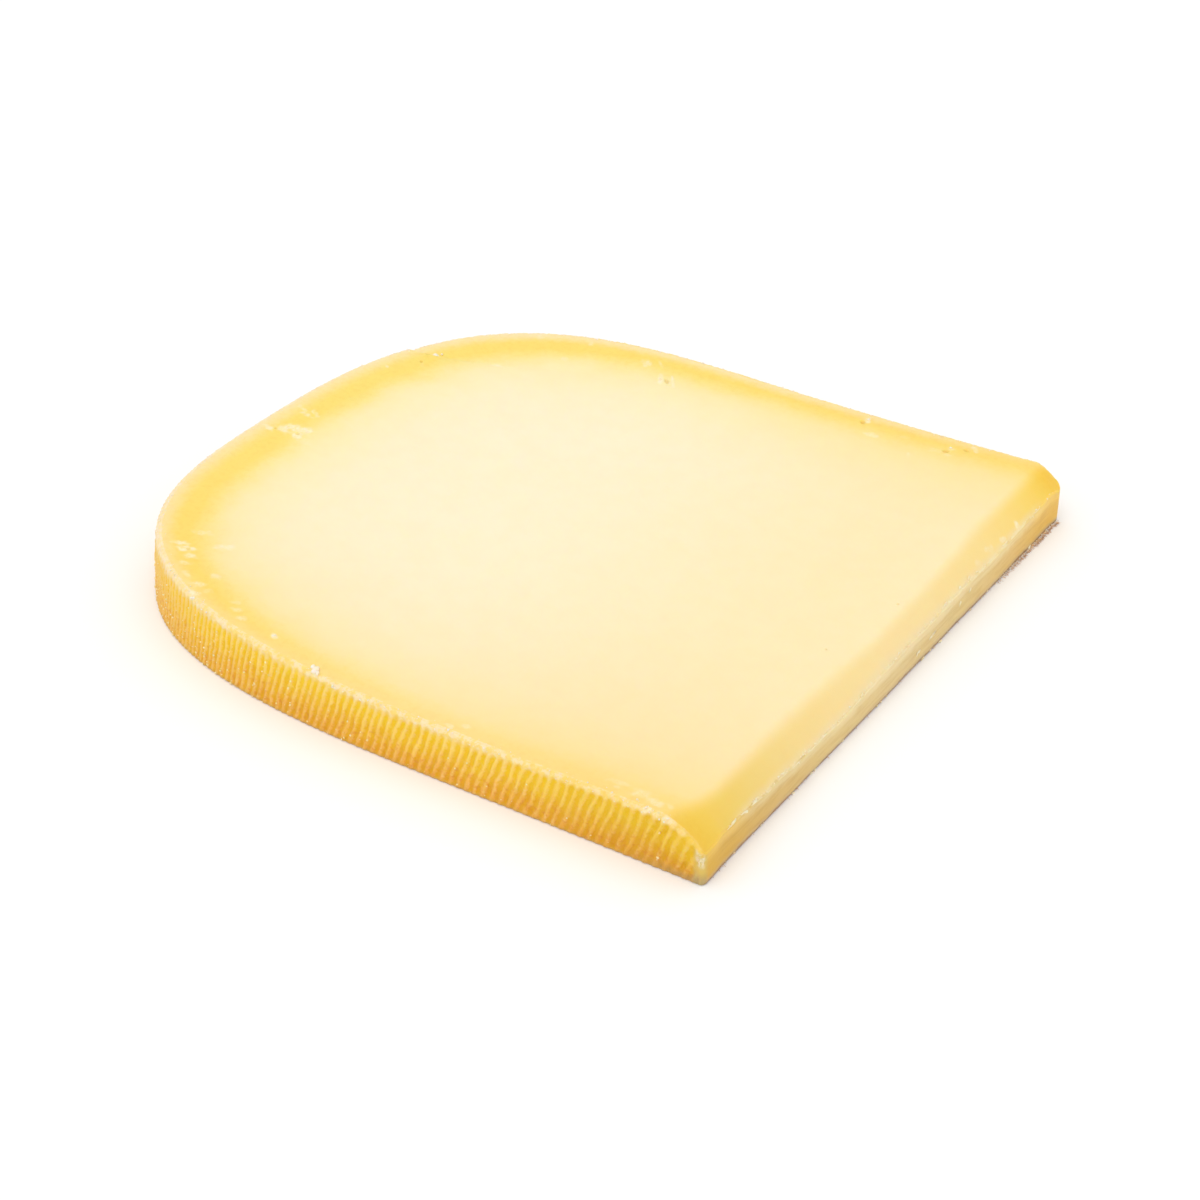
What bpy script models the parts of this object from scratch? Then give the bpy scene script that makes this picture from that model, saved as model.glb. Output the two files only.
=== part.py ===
"""A slice of semi-hard cheese, cut across a whole wheel.

The wheel lay on its side and was cut twice with a wire, so the slice is a thin slab with a
D-shaped cut face.  Its straight sides are the wheel's two flat faces and its round end is
the wheel's rim, so the rind and its fine ridges run all the way round, except at the thin
end where the slice was cut off short of the wheel's middle.

The wheel is turned from its profile, and the slab, the short end and the worn corners are
then cut out of it, as they were on the real piece.

Frame: metres, +Z up, +X towards the thin cut end, origin under the middle of the slice.
"""
import math

import bmesh
import bpy
import numpy as np
from mathutils import Matrix

NAME = "cheese_wedge"

# Driving dimensions of the slice
FACE_LENGTH = 0.1143            # rim to thin end, along the resting face
WHEEL_HEIGHT = 0.110            # between the wheel's two flat faces
END_THICKNESS = 0.0046          # height of the thin cut end
TOP_AT_END = 0.0089             # height of the upper face, carried on to the thin end
TOP_AT_RIM = 0.0120             # height of the upper face at the rim
TOP_HOLLOW = 0.00134            # how far the upper face dips below a straight line
ROLL_LENGTH = 0.0060            # the upper face rolls down over this length
ROLL_POWER = 1.5                # 1 would be a chamfer, 2 a soft shoulder
CORNER_RADIUS = 0.0015          # worn corners at the two ends of the thin end

# The wheel it was cut from
AXIS_BEYOND_END = 0.020         # the wheel's axis lies this far past the thin end
AXIS_DEPTH = 0.010              # and this far below the resting face
HUB_RADIUS = 0.008              # the turned profile starts here, inside what is cut away
RIDGE_PITCH = 0.0013
RIDGE_DEPTH = 0.00022
CROWN_SHIFT = -0.0036           # the rim's outermost line, from the middle of its height

# Each half of the rim leaves its flat face this far before the outermost line, along a
# quarter of a superellipse of this power
ROUND_LENGTH = {-1: 0.0762, 1: 0.0576}
ROUND_POWER = {-1: 3.22, 1: 2.77}

# How finely the shapes are divided
TURN_STEPS = 120
POINTS_PER_RIDGE = 3
OUTLINE_POINTS = 400
ROLL_POINTS = 7
TOP_POINTS = 9
CORNER_POINTS = 5
CUT_MARGIN = 0.010              # how far the cutters reach past what they cut
WELD = 0.00001                  # corners closer than this are one corner

AXIS_X = FACE_LENGTH / 2 + AXIS_BEYOND_END
AXIS_Z = -AXIS_DEPTH


def clear_scene():
    """Remove what the new file holds."""
    for thing in list(bpy.data.objects):
        bpy.data.objects.remove(thing, do_unlink=True)


def new_collection(name):
    """Return a new collection of the scene."""
    group = bpy.data.collections.new(name)
    bpy.context.scene.collection.children.link(group)
    return group


def add_object(name, data, group):
    """Put mesh or curve data in the scene as an object."""
    thing = bpy.data.objects.new(name, data)
    group.objects.link(thing)
    return thing


def superellipse_quarter(side):
    """Points of one half of the rim, from the flat face to the outermost line.

    Each is (distance from the thin end, distance from the middle of the wheel's height).
    """
    angle = np.linspace(math.pi / 2, 0.0, OUTLINE_POINTS)
    power = 2.0 / ROUND_POWER[side]
    along = np.abs(np.cos(angle)) ** power * ROUND_LENGTH[side]
    across = np.abs(np.sin(angle)) ** power * (side * WHEEL_HEIGHT / 2 - CROWN_SHIFT)
    return FACE_LENGTH - ROUND_LENGTH[side] + along, CROWN_SHIFT + across


def wheel_outline():
    """The smooth outline of the rind in the wheel's own plane: radius and height."""
    near_along, near_across = superellipse_quarter(-1)
    far_along, far_across = superellipse_quarter(1)
    along = np.concatenate([near_along, far_along[::-1][1:]])
    across = np.concatenate([near_across, far_across[::-1][1:]])
    radius = np.hypot(along + AXIS_BEYOND_END, AXIS_DEPTH)
    radius = np.concatenate([[HUB_RADIUS], radius, [HUB_RADIUS]])
    across = np.concatenate([[across[0]], across, [across[-1]]])
    return radius, across


def ridged_outline():
    """The outline with its ridges: two crest points and one groove point for each."""
    radius, height = wheel_outline()
    step = np.hypot(np.diff(radius), np.diff(height))
    length = np.concatenate([[0.0], np.cumsum(step)])
    ridges = round(length[-1] / RIDGE_PITCH)
    points = ridges * POINTS_PER_RIDGE
    at = np.linspace(0.0, length[-1], points + 1)
    r = np.interp(at, length, radius)
    y = np.interp(at, length, height)
    slope_r = np.gradient(r)
    slope_y = np.gradient(y)
    slope = np.hypot(slope_r, slope_y)
    groove = np.where(np.arange(points + 1) % POINTS_PER_RIDGE == 0, RIDGE_DEPTH, 0.0)
    # The outward direction is to the right of the way along the outline
    r = r - groove * slope_y / slope
    y = y + groove * slope_r / slope
    return r, y


def turned_wheel(group):
    """Turn the ridged profile about the wheel's axis, which lies along Y."""
    radius, height = ridged_outline()
    mesh = bpy.data.meshes.new(NAME)
    corners = [(r, y, 0.0) for r, y in zip(radius, height)]
    count = len(corners)
    edges = [(i, (i + 1) % count) for i in range(count)]
    mesh.from_pydata(corners, edges, [])
    wheel = add_object(NAME, mesh, group)
    wheel.location = (AXIS_X, 0.0, AXIS_Z)
    turn = wheel.modifiers.new("turn", "SCREW")
    turn.axis = "Y"
    turn.angle = 2 * math.pi
    turn.steps = TURN_STEPS
    turn.render_steps = TURN_STEPS
    turn.use_merge_vertices = True
    turn.merge_threshold = WELD
    turn.use_normal_calculate = True
    return wheel


def top_height(along):
    """Height of the upper face at a distance from the thin end."""
    share = along / FACE_LENGTH
    height = TOP_AT_END + (TOP_AT_RIM - TOP_AT_END) * share
    height -= 4 * TOP_HOLLOW * share * (1 - share)
    if along < ROLL_LENGTH:
        drop = TOP_AT_END - END_THICKNESS
        height -= drop * (1 - along / ROLL_LENGTH) ** ROLL_POWER
    return height


def side_section():
    """Outline of the slab seen from the side, as (x, z)."""
    rear = FACE_LENGTH + CUT_MARGIN
    along = list(np.linspace(0.0, ROLL_LENGTH, ROLL_POINTS, endpoint=False))
    along += list(np.linspace(ROLL_LENGTH, rear, TOP_POINTS))
    points = [(FACE_LENGTH / 2 - rear, 0.0), (FACE_LENGTH / 2, 0.0)]
    points += [(FACE_LENGTH / 2 - a, top_height(a)) for a in along]
    return points


def plan_outline():
    """Outline of the worn thin end seen from above, as (x, y), with rounded corners."""
    rear = -FACE_LENGTH / 2 - CUT_MARGIN
    wide = WHEEL_HEIGHT / 2 + CUT_MARGIN
    front = FACE_LENGTH / 2
    side = WHEEL_HEIGHT / 2
    points = [(rear, -wide), (front - CORNER_RADIUS, -wide)]
    for turn in (-1, 1):
        centre = (front - CORNER_RADIUS, turn * (side - CORNER_RADIUS))
        for i in range(CORNER_POINTS + 1):
            share = i / CORNER_POINTS
            angle = math.pi / 2 * (share - 1 if turn < 0 else share)
            points.append((centre[0] + CORNER_RADIUS * math.cos(angle),
                           centre[1] + CORNER_RADIUS * math.sin(angle)))
    points += [(front - CORNER_RADIUS, wide), (rear, wide)]
    return points


def prism(name, outline, half_depth, matrix, group):
    """Extrude a flat outline both ways and return it as a closed mesh object."""
    curve = bpy.data.curves.new(name, "CURVE")
    curve.dimensions = "2D"
    curve.fill_mode = "BOTH"
    curve.extrude = half_depth
    line = curve.splines.new("POLY")
    line.points.add(len(outline) - 1)
    for point, (u, v) in zip(line.points, outline):
        point.co = (u, v, 0.0, 1.0)
    line.use_cyclic_u = True
    drawn = add_object(name + "_outline", curve, group)
    drawn.matrix_world = matrix
    bpy.context.view_layer.update()
    seen = drawn.evaluated_get(bpy.context.evaluated_depsgraph_get())
    mesh = bpy.data.meshes.new_from_object(seen)
    solid = add_object(name, mesh, group)
    solid.matrix_world = matrix
    bpy.data.objects.remove(drawn, do_unlink=True)
    shell = bmesh.new()
    shell.from_mesh(mesh)
    bmesh.ops.remove_doubles(shell, verts=shell.verts, dist=WELD)
    bmesh.ops.recalc_face_normals(shell, faces=shell.faces)
    shell.to_mesh(mesh)
    shell.free()
    solid.hide_render = True
    solid.display_type = "WIRE"
    return solid


def keep_inside(piece, cutter):
    """Cut away what lies outside the cutter."""
    cut = piece.modifiers.new(cutter.name, "BOOLEAN")
    cut.operation = "INTERSECT"
    cut.solver = "EXACT"
    cut.object = cutter


def cheese_material():
    """Pale butter-yellow cut cheese, slightly waxy."""
    material = bpy.data.materials.new("cheese")
    material.use_nodes = True
    shader = material.node_tree.nodes["Principled BSDF"]
    shader.inputs["Base Color"].default_value = (0.93, 0.76, 0.36, 1.0)
    shader.inputs["Roughness"].default_value = 0.45
    shader.inputs["Metallic"].default_value = 0.0
    return material


def build():
    """Model the slice."""
    clear_scene()
    parts = new_collection("cheese_slice")
    cutters = new_collection("cutters")
    wheel = turned_wheel(parts)
    wheel.data.materials.append(cheese_material())
    upright = Matrix.Rotation(math.pi / 2, 4, "X")
    slab = prism("slab", side_section(), WHEEL_HEIGHT / 2 + CUT_MARGIN, upright, cutters)
    corners = prism("worn_corners", plan_outline(), FACE_LENGTH, Matrix.Identity(4), cutters)
    keep_inside(wheel, slab)
    keep_inside(wheel, corners)


build()
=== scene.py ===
# %% [markdown]
# # A slice of ridged semi-hard cheese
# A whole wheel was laid down and cut across with a wire, so the slice is a thin slab with a
# D-shaped cut face.  The rind runs round three sides and carries the fine ridges that the
# press cloth left.  The fourth side is a short cut where the slice ends.
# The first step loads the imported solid, which gives every size that is used below.

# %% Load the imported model
import math

import bpy
import numpy as np
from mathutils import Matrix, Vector, noise
from mathutils.geometry import delaunay_2d_cdt


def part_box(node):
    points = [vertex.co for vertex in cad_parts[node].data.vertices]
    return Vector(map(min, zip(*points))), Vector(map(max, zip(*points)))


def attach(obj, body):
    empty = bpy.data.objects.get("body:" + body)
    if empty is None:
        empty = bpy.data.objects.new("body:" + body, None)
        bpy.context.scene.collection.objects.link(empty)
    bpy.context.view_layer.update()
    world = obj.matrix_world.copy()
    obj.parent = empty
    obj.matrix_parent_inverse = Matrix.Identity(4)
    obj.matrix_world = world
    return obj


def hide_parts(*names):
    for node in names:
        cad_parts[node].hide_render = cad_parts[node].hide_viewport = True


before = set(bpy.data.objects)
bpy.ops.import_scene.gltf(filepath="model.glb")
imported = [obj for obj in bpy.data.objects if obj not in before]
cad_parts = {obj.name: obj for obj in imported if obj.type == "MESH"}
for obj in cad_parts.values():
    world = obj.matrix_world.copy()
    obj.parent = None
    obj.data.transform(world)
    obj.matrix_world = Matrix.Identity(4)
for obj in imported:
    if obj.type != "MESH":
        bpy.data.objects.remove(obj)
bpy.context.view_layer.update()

NODE = "cheese_wedge"
MM = 0.001
low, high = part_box(NODE)
END_X = high.x / MM             # the thin cut end
RIM_X = low.x / MM
LENGTH = END_X - RIM_X
HALF = high.y / MM
print("slice", round(LENGTH, 1), "x", round(2 * HALF, 1), "x", round(high.z / MM, 1), "mm")


# %% [markdown]
# ## Small helpers
# All shapes are worked out in millimetres and turned to metres when a mesh is made.  Smooth
# steps and soft noise shape nearly everything on food, so they come first.

# %% Helpers for shapes
def smooth(low_end, high_end, value):
    """Zero below the first value, one above the second, and smooth between them."""
    share = np.clip((value - low_end) / (high_end - low_end), 0.0, 1.0)
    return share * share * (3 - 2 * share)


def soft_noise(points, size, seed):
    """Smooth noise of about -1 to 1 at each point, with lumps of one size in mm."""
    shift = Vector((seed * 17.3, seed * 5.9, seed * 31.7))
    return np.array([noise.noise(Vector(p) / size + shift) for p in points])


def from_table(rows, at):
    """Read a short table of pairs, straight from one row to the next."""
    return np.interp(at, *np.array(rows).T)


def flat_points(x, y):
    """Pair x and y up as points on the ground."""
    return np.column_stack([x, y, np.zeros(len(x))])


def spot(along, across):
    """A place on the slice as shares of its length from the rim and of its width."""
    return np.array([RIM_X + along * LENGTH, -HALF + across * 2 * HALF])


def width_share(y):
    """How far across the slice a place lies, zero at the near side and one at the far one."""
    return (y + HALF) / (2 * HALF)


def make_mesh(name, points, faces, edges=()):
    """Turn points in mm, and faces or edges, into an object in metres."""
    mesh = bpy.data.meshes.new(name)
    mesh.from_pydata([tuple(p) for p in np.asarray(points) * MM], edges, faces)
    made = bpy.data.objects.new(name, mesh)
    bpy.context.scene.collection.objects.link(made)
    return made


def give_values(piece, name, values):
    """Store one number, or one direction, for every point of a piece."""
    values = np.asarray(values, dtype=float)
    kind = "FLOAT" if values.ndim == 1 else "FLOAT_VECTOR"
    field = "value" if values.ndim == 1 else "vector"
    piece.data.attributes.new(name, kind, "POINT").data.foreach_set(field, values.ravel())


# %% [markdown]
# ## The outline of the wheel
# On the real cheese the straight sides are the wheel's two flat faces and the round end is
# its rim.  A superellipse gives each half of that outline from two numbers, its length and
# its fullness, which is closer to a pressed wheel than an arc with straight sides.  The
# ridges are circles round the wheel's axis, so a column of the rind keeps one distance from
# that axis and leans inwards as it rises.

# %% The outline of the wheel
AXIS_BEYOND_END = 20.0          # the wheel's axis lies this far past the thin end
AXIS_DEPTH = 10.0               # and this far below the resting face
CROWN_SHIFT = -3.6              # the outermost line, from the middle of the wheel's height
ROUND_LENGTH = {-1: 76.2, 1: 57.6}
ROUND_POWER = {-1: 3.22, 1: 2.77}
STRAIGHT_STEP = 0.1
# mm along the rind from either end, distance from one ridge to the next in mm
PITCHES = ((0.0, 1.40), (30.0, 1.37), (55.0, 1.27), (75.0, 1.19), (86.0, 1.06), (100.0, 1.0))
OUTLINE_POINTS = 3000


def half_outline(side):
    """Half of the rim from the thin end to the outermost line."""
    angle = np.linspace(math.pi / 2, 0.0, OUTLINE_POINTS)
    power = 2.0 / ROUND_POWER[side]
    along = LENGTH - ROUND_LENGTH[side] + np.abs(np.cos(angle)) ** power * ROUND_LENGTH[side]
    across = CROWN_SHIFT + np.abs(np.sin(angle)) ** power * (side * HALF - CROWN_SHIFT)
    straight = np.arange(0.0, along[0], STRAIGHT_STEP)
    return (np.concatenate([straight, along]),
            np.concatenate([np.full(len(straight), side * HALF), across]))


near_u, near_v = half_outline(-1)
far_u, far_v = half_outline(1)
line_u = np.concatenate([near_u, far_u[::-1][1:]])
line_v = np.concatenate([near_v, far_v[::-1][1:]])
line_r = np.hypot(line_u + AXIS_BEYOND_END, AXIS_DEPTH)
line_s = np.concatenate([[0.0], np.cumsum(np.hypot(np.diff(line_r), np.diff(line_v)))])
MIDDLE = len(near_u) - 1


def pitch_at(s):
    """The spacing of the ridges at a distance along the rind."""
    return from_table(PITCHES, np.minimum(s, line_s[-1] - s))


# How many ridges lie between the near corner and each point of the outline
line_turns = np.concatenate([[0.0], np.cumsum(np.diff(line_s) / pitch_at(line_s)[1:])])
print("rind", round(line_s[-1]), "mm long,", round(line_turns[-1]), "ridges")

# %% [markdown]
# ## The height of the upper face
# A wire leaves a face that is nearly flat, a little hollow and never quite true.  Towards
# the thin end it rolls down over a few millimetres, where the knife pressed the edge, and
# both the length of that roll and the height of the edge wander along the cut.  One function
# gives the height anywhere, so the rind, the end and the face meet without a gap.

# %% The height of the upper face
TOP_AT_END = 8.9
TOP_AT_RIM = 12.0
TOP_HOLLOW = 1.34
# share of the width, length of the roll in mm
ROLL_LENGTHS = ((0.0, 8.6), (0.06, 4.4), (0.22, 4.8), (0.36, 4.2), (0.46, 3.2), (0.57, 3.6),
                (0.68, 4.2), (0.8, 5.3), (0.93, 4.7), (1.0, 4.8))
# share of the width, height of the thin end's edge in mm
EDGE_HEIGHTS = ((0.0, 5.2), (0.05, 5.0), (0.14, 4.2), (0.25, 3.6), (0.34, 3.3), (0.39, 3.8),
                (0.5, 4.3), (0.68, 5.0), (0.82, 5.0), (0.89, 5.2), (0.95, 6.0), (1.0, 5.0))
ROLL_POWER = 1.7
TABLE_BLUR = 0.03               # share of the width over which these two are smoothed
# The line where the wire was stopped and started again, and the step that it left
STEP_LINE = [spot(-0.02, 0.755), spot(0.053, 0.761), spot(0.115, 0.773), spot(0.182, 0.798),
             spot(0.33, 0.862), spot(0.47, 0.918), spot(0.596, 0.964), spot(0.68, 1.02)]
# share of the length, depth of the step in mm
STEP_DEPTHS = ((0.03, 0.55), (0.11, 0.34), (0.19, 0.16), (0.6, 0.05))
STEP_WIDTH = 0.35
STEP_REACH = 4.5                # the lowered face rises again over this length
STEP_REST = 0.15                # share of the step that stays lowered far away from it
STEP_RUNOUT = 10.0              # it runs out over the last stretch of the line and this more
FAR_RISE = 0.25                 # the face stands a little higher along its far side
# The pressed edge is never a clean line, so its height also wobbles from place to place
EDGE_WAVE = 0.32
wave_at = np.arange(-HALF - 2, HALF + 2, 0.25)
wave_by = (soft_noise(flat_points(wave_at, wave_at), 4.5, 9)
           + 0.4 * soft_noise(flat_points(wave_at, wave_at), 1.7, 10))


def soft_table(rows, share):
    """Read a short table with its corners smoothed."""
    nearby = np.linspace(-TABLE_BLUR, TABLE_BLUR, 7)
    return np.mean([from_table(rows, share + step) for step in nearby], axis=0)


def step_drop(x, y):
    """How far the face beyond the wire's step lies lower."""
    edge = from_table(STEP_LINE, x)
    deep = from_table(STEP_DEPTHS, (x - RIM_X) / LENGTH)
    beyond = smooth(-STEP_WIDTH, STEP_WIDTH, y - edge)
    fading = STEP_REST + (1 - STEP_REST) * np.exp(-np.maximum(y - edge, 0) / STEP_REACH)
    return deep * beyond * fading * smooth(STEP_LINE[-1][0], STEP_LINE[-2][0] - STEP_RUNOUT, x)


def roll_share(x, y):
    """One at the thin end, zero where the roll starts."""
    length = soft_table(ROLL_LENGTHS, width_share(y))
    return np.clip(1 - (END_X - x) / length, 0.0, 1.0)


def plain_top(x, y):
    """The height of the upper face without its fine marks."""
    along = np.clip((END_X - x) / LENGTH, 0.0, 1.0)
    height = TOP_AT_END + (TOP_AT_RIM - TOP_AT_END) * along
    height = height - 4 * TOP_HOLLOW * along * (1 - along)
    height = height + FAR_RISE * smooth(0.5 * HALF, 0.95 * HALF, y)
    edge = soft_table(EDGE_HEIGHTS, width_share(y)) + EDGE_WAVE * np.interp(y, wave_at, wave_by)
    return height - (TOP_AT_END - edge) * roll_share(x, y) ** ROLL_POWER - step_drop(x, y)


middle = plain_top(np.array([0.0]), np.array([0.0]))[0]
print("upper face", round(middle, 2), "mm high in the middle of the slice")


# %% [markdown]
# ## Marks on the upper face
# Close to the rind the drier paste tears: small whitish patches, flecks, a few eyes and the
# scrapes of a knife.  They are real relief, so they catch the light from every side.  Each is
# an ellipse with a noisy edge, placed as a share of the slice's length and width.

# %% Marks on the upper face
# share of the length and width, half length and half width in mm, turn, strength
TORN = (
    # the largest one, at the rim, with its small neighbour
    (0.066, 0.467, 1.9, 1.1, -5, 1.0), (0.083, 0.471, 1.2, 0.9, -57, 0.95),
    (0.082, 0.452, 1.2, 0.9, -57, 1.0), (0.055, 0.456, 1.5, 0.8, 0, 0.85),
    (0.036, 0.446, 1.2, 0.6, -15, 0.9), (0.043, 0.517, 1.7, 0.5, -20, 0.6),
    (0.070, 0.462, 3.4, 2.0, 25, 0.42), (0.100, 0.446, 1.6, 0.9, -25, 0.4),
    (0.063, 0.518, 1.4, 0.5, -35, 0.6), (0.055, 0.508, 1.4, 0.6, -10, 0.6),
    # where the wire was stopped
    (0.094, 0.771, 0.8, 0.6, 20, 1.0), (0.183, 0.800, 1.2, 0.6, 15, 0.7),
    (0.060, 0.695, 0.8, 0.3, -45, 0.6), (0.097, 0.733, 1.2, 0.4, -60, 0.35),
    # between the rim and the near side
    (0.139, 0.175, 1.7, 0.7, 25, 0.5), (0.183, 0.166, 1.8, 0.9, 30, 0.7),
    (0.130, 0.138, 1.3, 0.6, 20, 0.8), (0.144, 0.132, 1.4, 0.8, 15, 1.0),
    (0.159, 0.122, 1.3, 0.8, 10, 0.7), (0.165, 0.105, 1.1, 0.6, 20, 0.5),
    (0.184, 0.086, 1.2, 0.6, -20, 0.5), (0.218, 0.104, 1.0, 0.8, 0, 0.5),
    (0.211, 0.076, 1.3, 0.8, 15, 0.7), (0.220, 0.058, 1.1, 0.6, 0, 0.8),
    (0.231, 0.073, 0.9, 0.6, 20, 0.4), (0.275, 0.073, 1.0, 0.6, 20, 0.4),
    (0.286, 0.061, 1.2, 0.6, 15, 0.5), (0.303, 0.049, 1.0, 0.6, 0, 0.6),
    (0.360, 0.043, 0.9, 0.45, -30, 0.9), (0.458, 0.093, 1.3, 0.7, 0, 0.25),
    (0.662, 0.023, 1.0, 0.5, 0, 0.5), (0.645, 0.013, 0.9, 0.4, 0, 0.6),
    # scraped by the knife, beside the thin end
    (0.870, 0.028, 1.8, 0.7, 5, 0.4), (0.903, 0.023, 1.8, 1.0, 5, 0.5),
    (0.926, 0.018, 1.6, 0.8, -10, 0.6), (0.942, 0.022, 0.9, 0.5, -30, 0.4),
    (0.872, 0.020, 0.7, 0.4, 0, 0.4), (0.898, 0.002, 0.9, 0.5, 0, 0.5),
    (0.922, 0.003, 0.8, 0.5, 0, 0.9), (0.936, 0.002, 0.6, 0.5, 0, 0.6),
    (0.951, 0.003, 1.0, 0.6, 10, 0.65), (0.972, 0.004, 0.9, 0.4, 10, 0.28),
    # along the pressed edge towards the far corner
    (0.993, 0.859, 0.65, 0.5, -60, 0.75), (0.992, 0.814, 0.9, 0.4, 85, 0.6),
    (0.989, 0.777, 1.3, 0.4, 85, 0.5), (0.990, 0.737, 0.8, 0.4, 85, 0.4),
    # the far side
    (0.185, 0.918, 2.0, 1.0, -45, 0.45), (0.260, 0.941, 0.9, 0.5, -60, 0.5),
    (0.253, 0.878, 0.9, 0.6, 0, 0.5), (0.358, 0.942, 1.4, 0.9, -50, 0.6),
    (0.376, 0.952, 1.4, 0.4, -50, 0.5), (0.399, 0.912, 1.7, 0.5, -60, 0.9),
    (0.419, 0.914, 2.2, 0.28, -55, 0.8), (0.707, 0.977, 1.2, 0.5, -70, 0.8),
    (0.732, 0.940, 1.4, 0.9, 10, 0.6), (0.772, 0.961, 0.9, 0.6, 0, 0.3),
    (0.801, 0.916, 1.0, 0.35, -60, 0.6), (0.841, 0.966, 1.0, 0.6, 0, 0.5),
    (0.826, 0.949, 1.5, 0.7, 10, 0.4), (0.846, 0.945, 0.9, 0.6, 0, 0.5),
    (0.872, 0.982, 1.4, 0.5, -45, 0.7),
)
# share of the length and width, half length and half width in mm, turn, depth in mm
EYES = (
    (0.079, 0.456, 0.42, 0.30, 20, 0.45), (0.045, 0.450, 0.30, 0.22, 0, 0.30),
    (0.085, 0.764, 0.42, 0.32, 0, 0.50), (0.091, 0.739, 0.45, 0.28, -60, 0.45),
    (0.148, 0.133, 0.45, 0.20, 25, 0.30), (0.410, 0.912, 0.90, 0.40, -50, 0.32),
    (0.704, 0.967, 0.60, 0.45, -50, 0.42), (0.840, 0.955, 0.60, 0.50, 0, 0.45),
    (0.863, 0.972, 0.60, 0.30, -20, 0.40), (0.937, 0.409, 0.22, 0.22, 0, 0.22),
    (0.964, 0.554, 0.22, 0.22, 0, 0.22),
)
TORN_RAISE = 0.05
TORN_RELIEF = 0.08
TORN_EDGE = 0.55                # how much noise frays the edge of a patch
EYE_LIP = 0.10                  # share of an eye's depth that its lip stands up
LIP_AT, LIP_WIDTH = 1.35, 0.3   # where that lip runs, in half sizes of the eye
SWELL, SWELL_SIZE = 0.07, 14.0  # the face is never quite true, mm up and mm across
DRAG, DRAG_SIZE = 0.018, 1.6    # and the wire has left faint lines along it
print(len(TORN), "torn patches and", len(EYES), "eyes")


# %% What the marks do to the face
def across_ellipse(x, y, along, across, long, wide, turn):
    """Distance from the middle of an ellipse, one at its edge."""
    middle = spot(along, across)
    dx, dy = x - middle[0], y - middle[1]
    c, s = math.cos(math.radians(turn)), math.sin(math.radians(turn))
    return np.hypot((dx * c + dy * s) / long, (dy * c - dx * s) / wide)


def torn_share(x, y):
    """How torn the face is at each place, from zero to one."""
    rough = soft_noise(flat_points(x, y), 0.9, 3)
    share = np.zeros(len(x))
    for *ellipse, strength in TORN:
        away = across_ellipse(x, y, *ellipse)
        share = np.maximum(share, strength * smooth(1.5, 0.3, away + TORN_EDGE * rough))
    return share


def eye_share(x, y):
    """One in the middle of an eye, zero away from all of them."""
    share = np.zeros(len(x))
    for *ellipse, _depth in EYES:
        share = np.maximum(share, smooth(1.2, 0.5, across_ellipse(x, y, *ellipse)))
    return share


def eye_depth(x, y):
    """How deep the eyes are at each place, with a small raised lip round them."""
    deep = np.zeros(len(x))
    for *ellipse, depth in EYES:
        away = across_ellipse(x, y, *ellipse)
        deep += depth * smooth(1.1, 0.3, away)
        deep -= EYE_LIP * depth * np.exp(-((away - LIP_AT) / LIP_WIDTH) ** 2)
    return deep


def top_height(x, y):
    """The height of the upper face with all its marks."""
    ground = flat_points(x, y)
    height = plain_top(x, y) + SWELL * soft_noise(ground, SWELL_SIZE, 1)
    height = height + DRAG * soft_noise(ground * (0.28, 1.0, 1.0), DRAG_SIZE, 2)
    torn = torn_share(x, y)
    relief = soft_noise(ground, 0.8, 4) + 0.6 * soft_noise(ground, 0.4, 5)
    return height + torn * (TORN_RAISE + TORN_RELIEF * relief) - eye_depth(x, y)


print("deepest eye", max(eye[-1] for eye in EYES), "mm")

# %% [markdown]
# ## The band of rind and the cut end
# The sides are one closed band of columns.  On the rind each ridge gets seven columns, which
# is what a round crest and a narrow groove need, and near the thin end the leaning columns
# stand up straight so that they meet the corner.  The corners of the real slice are worn, so
# the band turns them on small arcs.

# %% Columns round the slice
COLUMNS_PER_RIDGE = 7
STRAIGHTEN = 14.0               # the columns stand upright over this length
NEAR_CORNER = 0.8               # radius of the worn corners
FAR_CORNER = 1.5
END_COLUMN = 0.32               # spacing along the cut end
END_BOW, END_BOW_SIZE = 0.10, 9.0
END_SET_BACK = 0.12             # so that the bowed end stays inside the solid
CORNER_COLUMNS = 7


def rind_columns():
    """Arc length, distance from the end and height on the wheel of each rind column."""
    first = np.interp(NEAR_CORNER, near_u, line_turns[:MIDDLE + 1])
    last = np.interp(FAR_CORNER, far_u, line_turns[MIDDLE:][::-1])
    turns = np.linspace(first, last, int((last - first) * COLUMNS_PER_RIDGE))
    s = np.interp(turns, line_turns, line_s)
    return s, np.interp(s, line_s, line_u), np.interp(s, line_s, line_v)


def leaning(u, z):
    """Distance from the thin end, at a height, of the column that starts at u."""
    radius = np.hypot(u + AXIS_BEYOND_END, AXIS_DEPTH)
    full = np.sqrt(radius ** 2 - (z + AXIS_DEPTH) ** 2) - AXIS_BEYOND_END
    return u + (full - u) * smooth(0.0, STRAIGHTEN, u)


def arc_columns(centre, radius, start, stop):
    """Columns round a worn corner, without the two that it shares."""
    angle = np.radians(np.linspace(start, stop, CORNER_COLUMNS + 2)[1:-1])
    return centre[0] + radius * np.cos(angle), centre[1] + radius * np.sin(angle)


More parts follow.
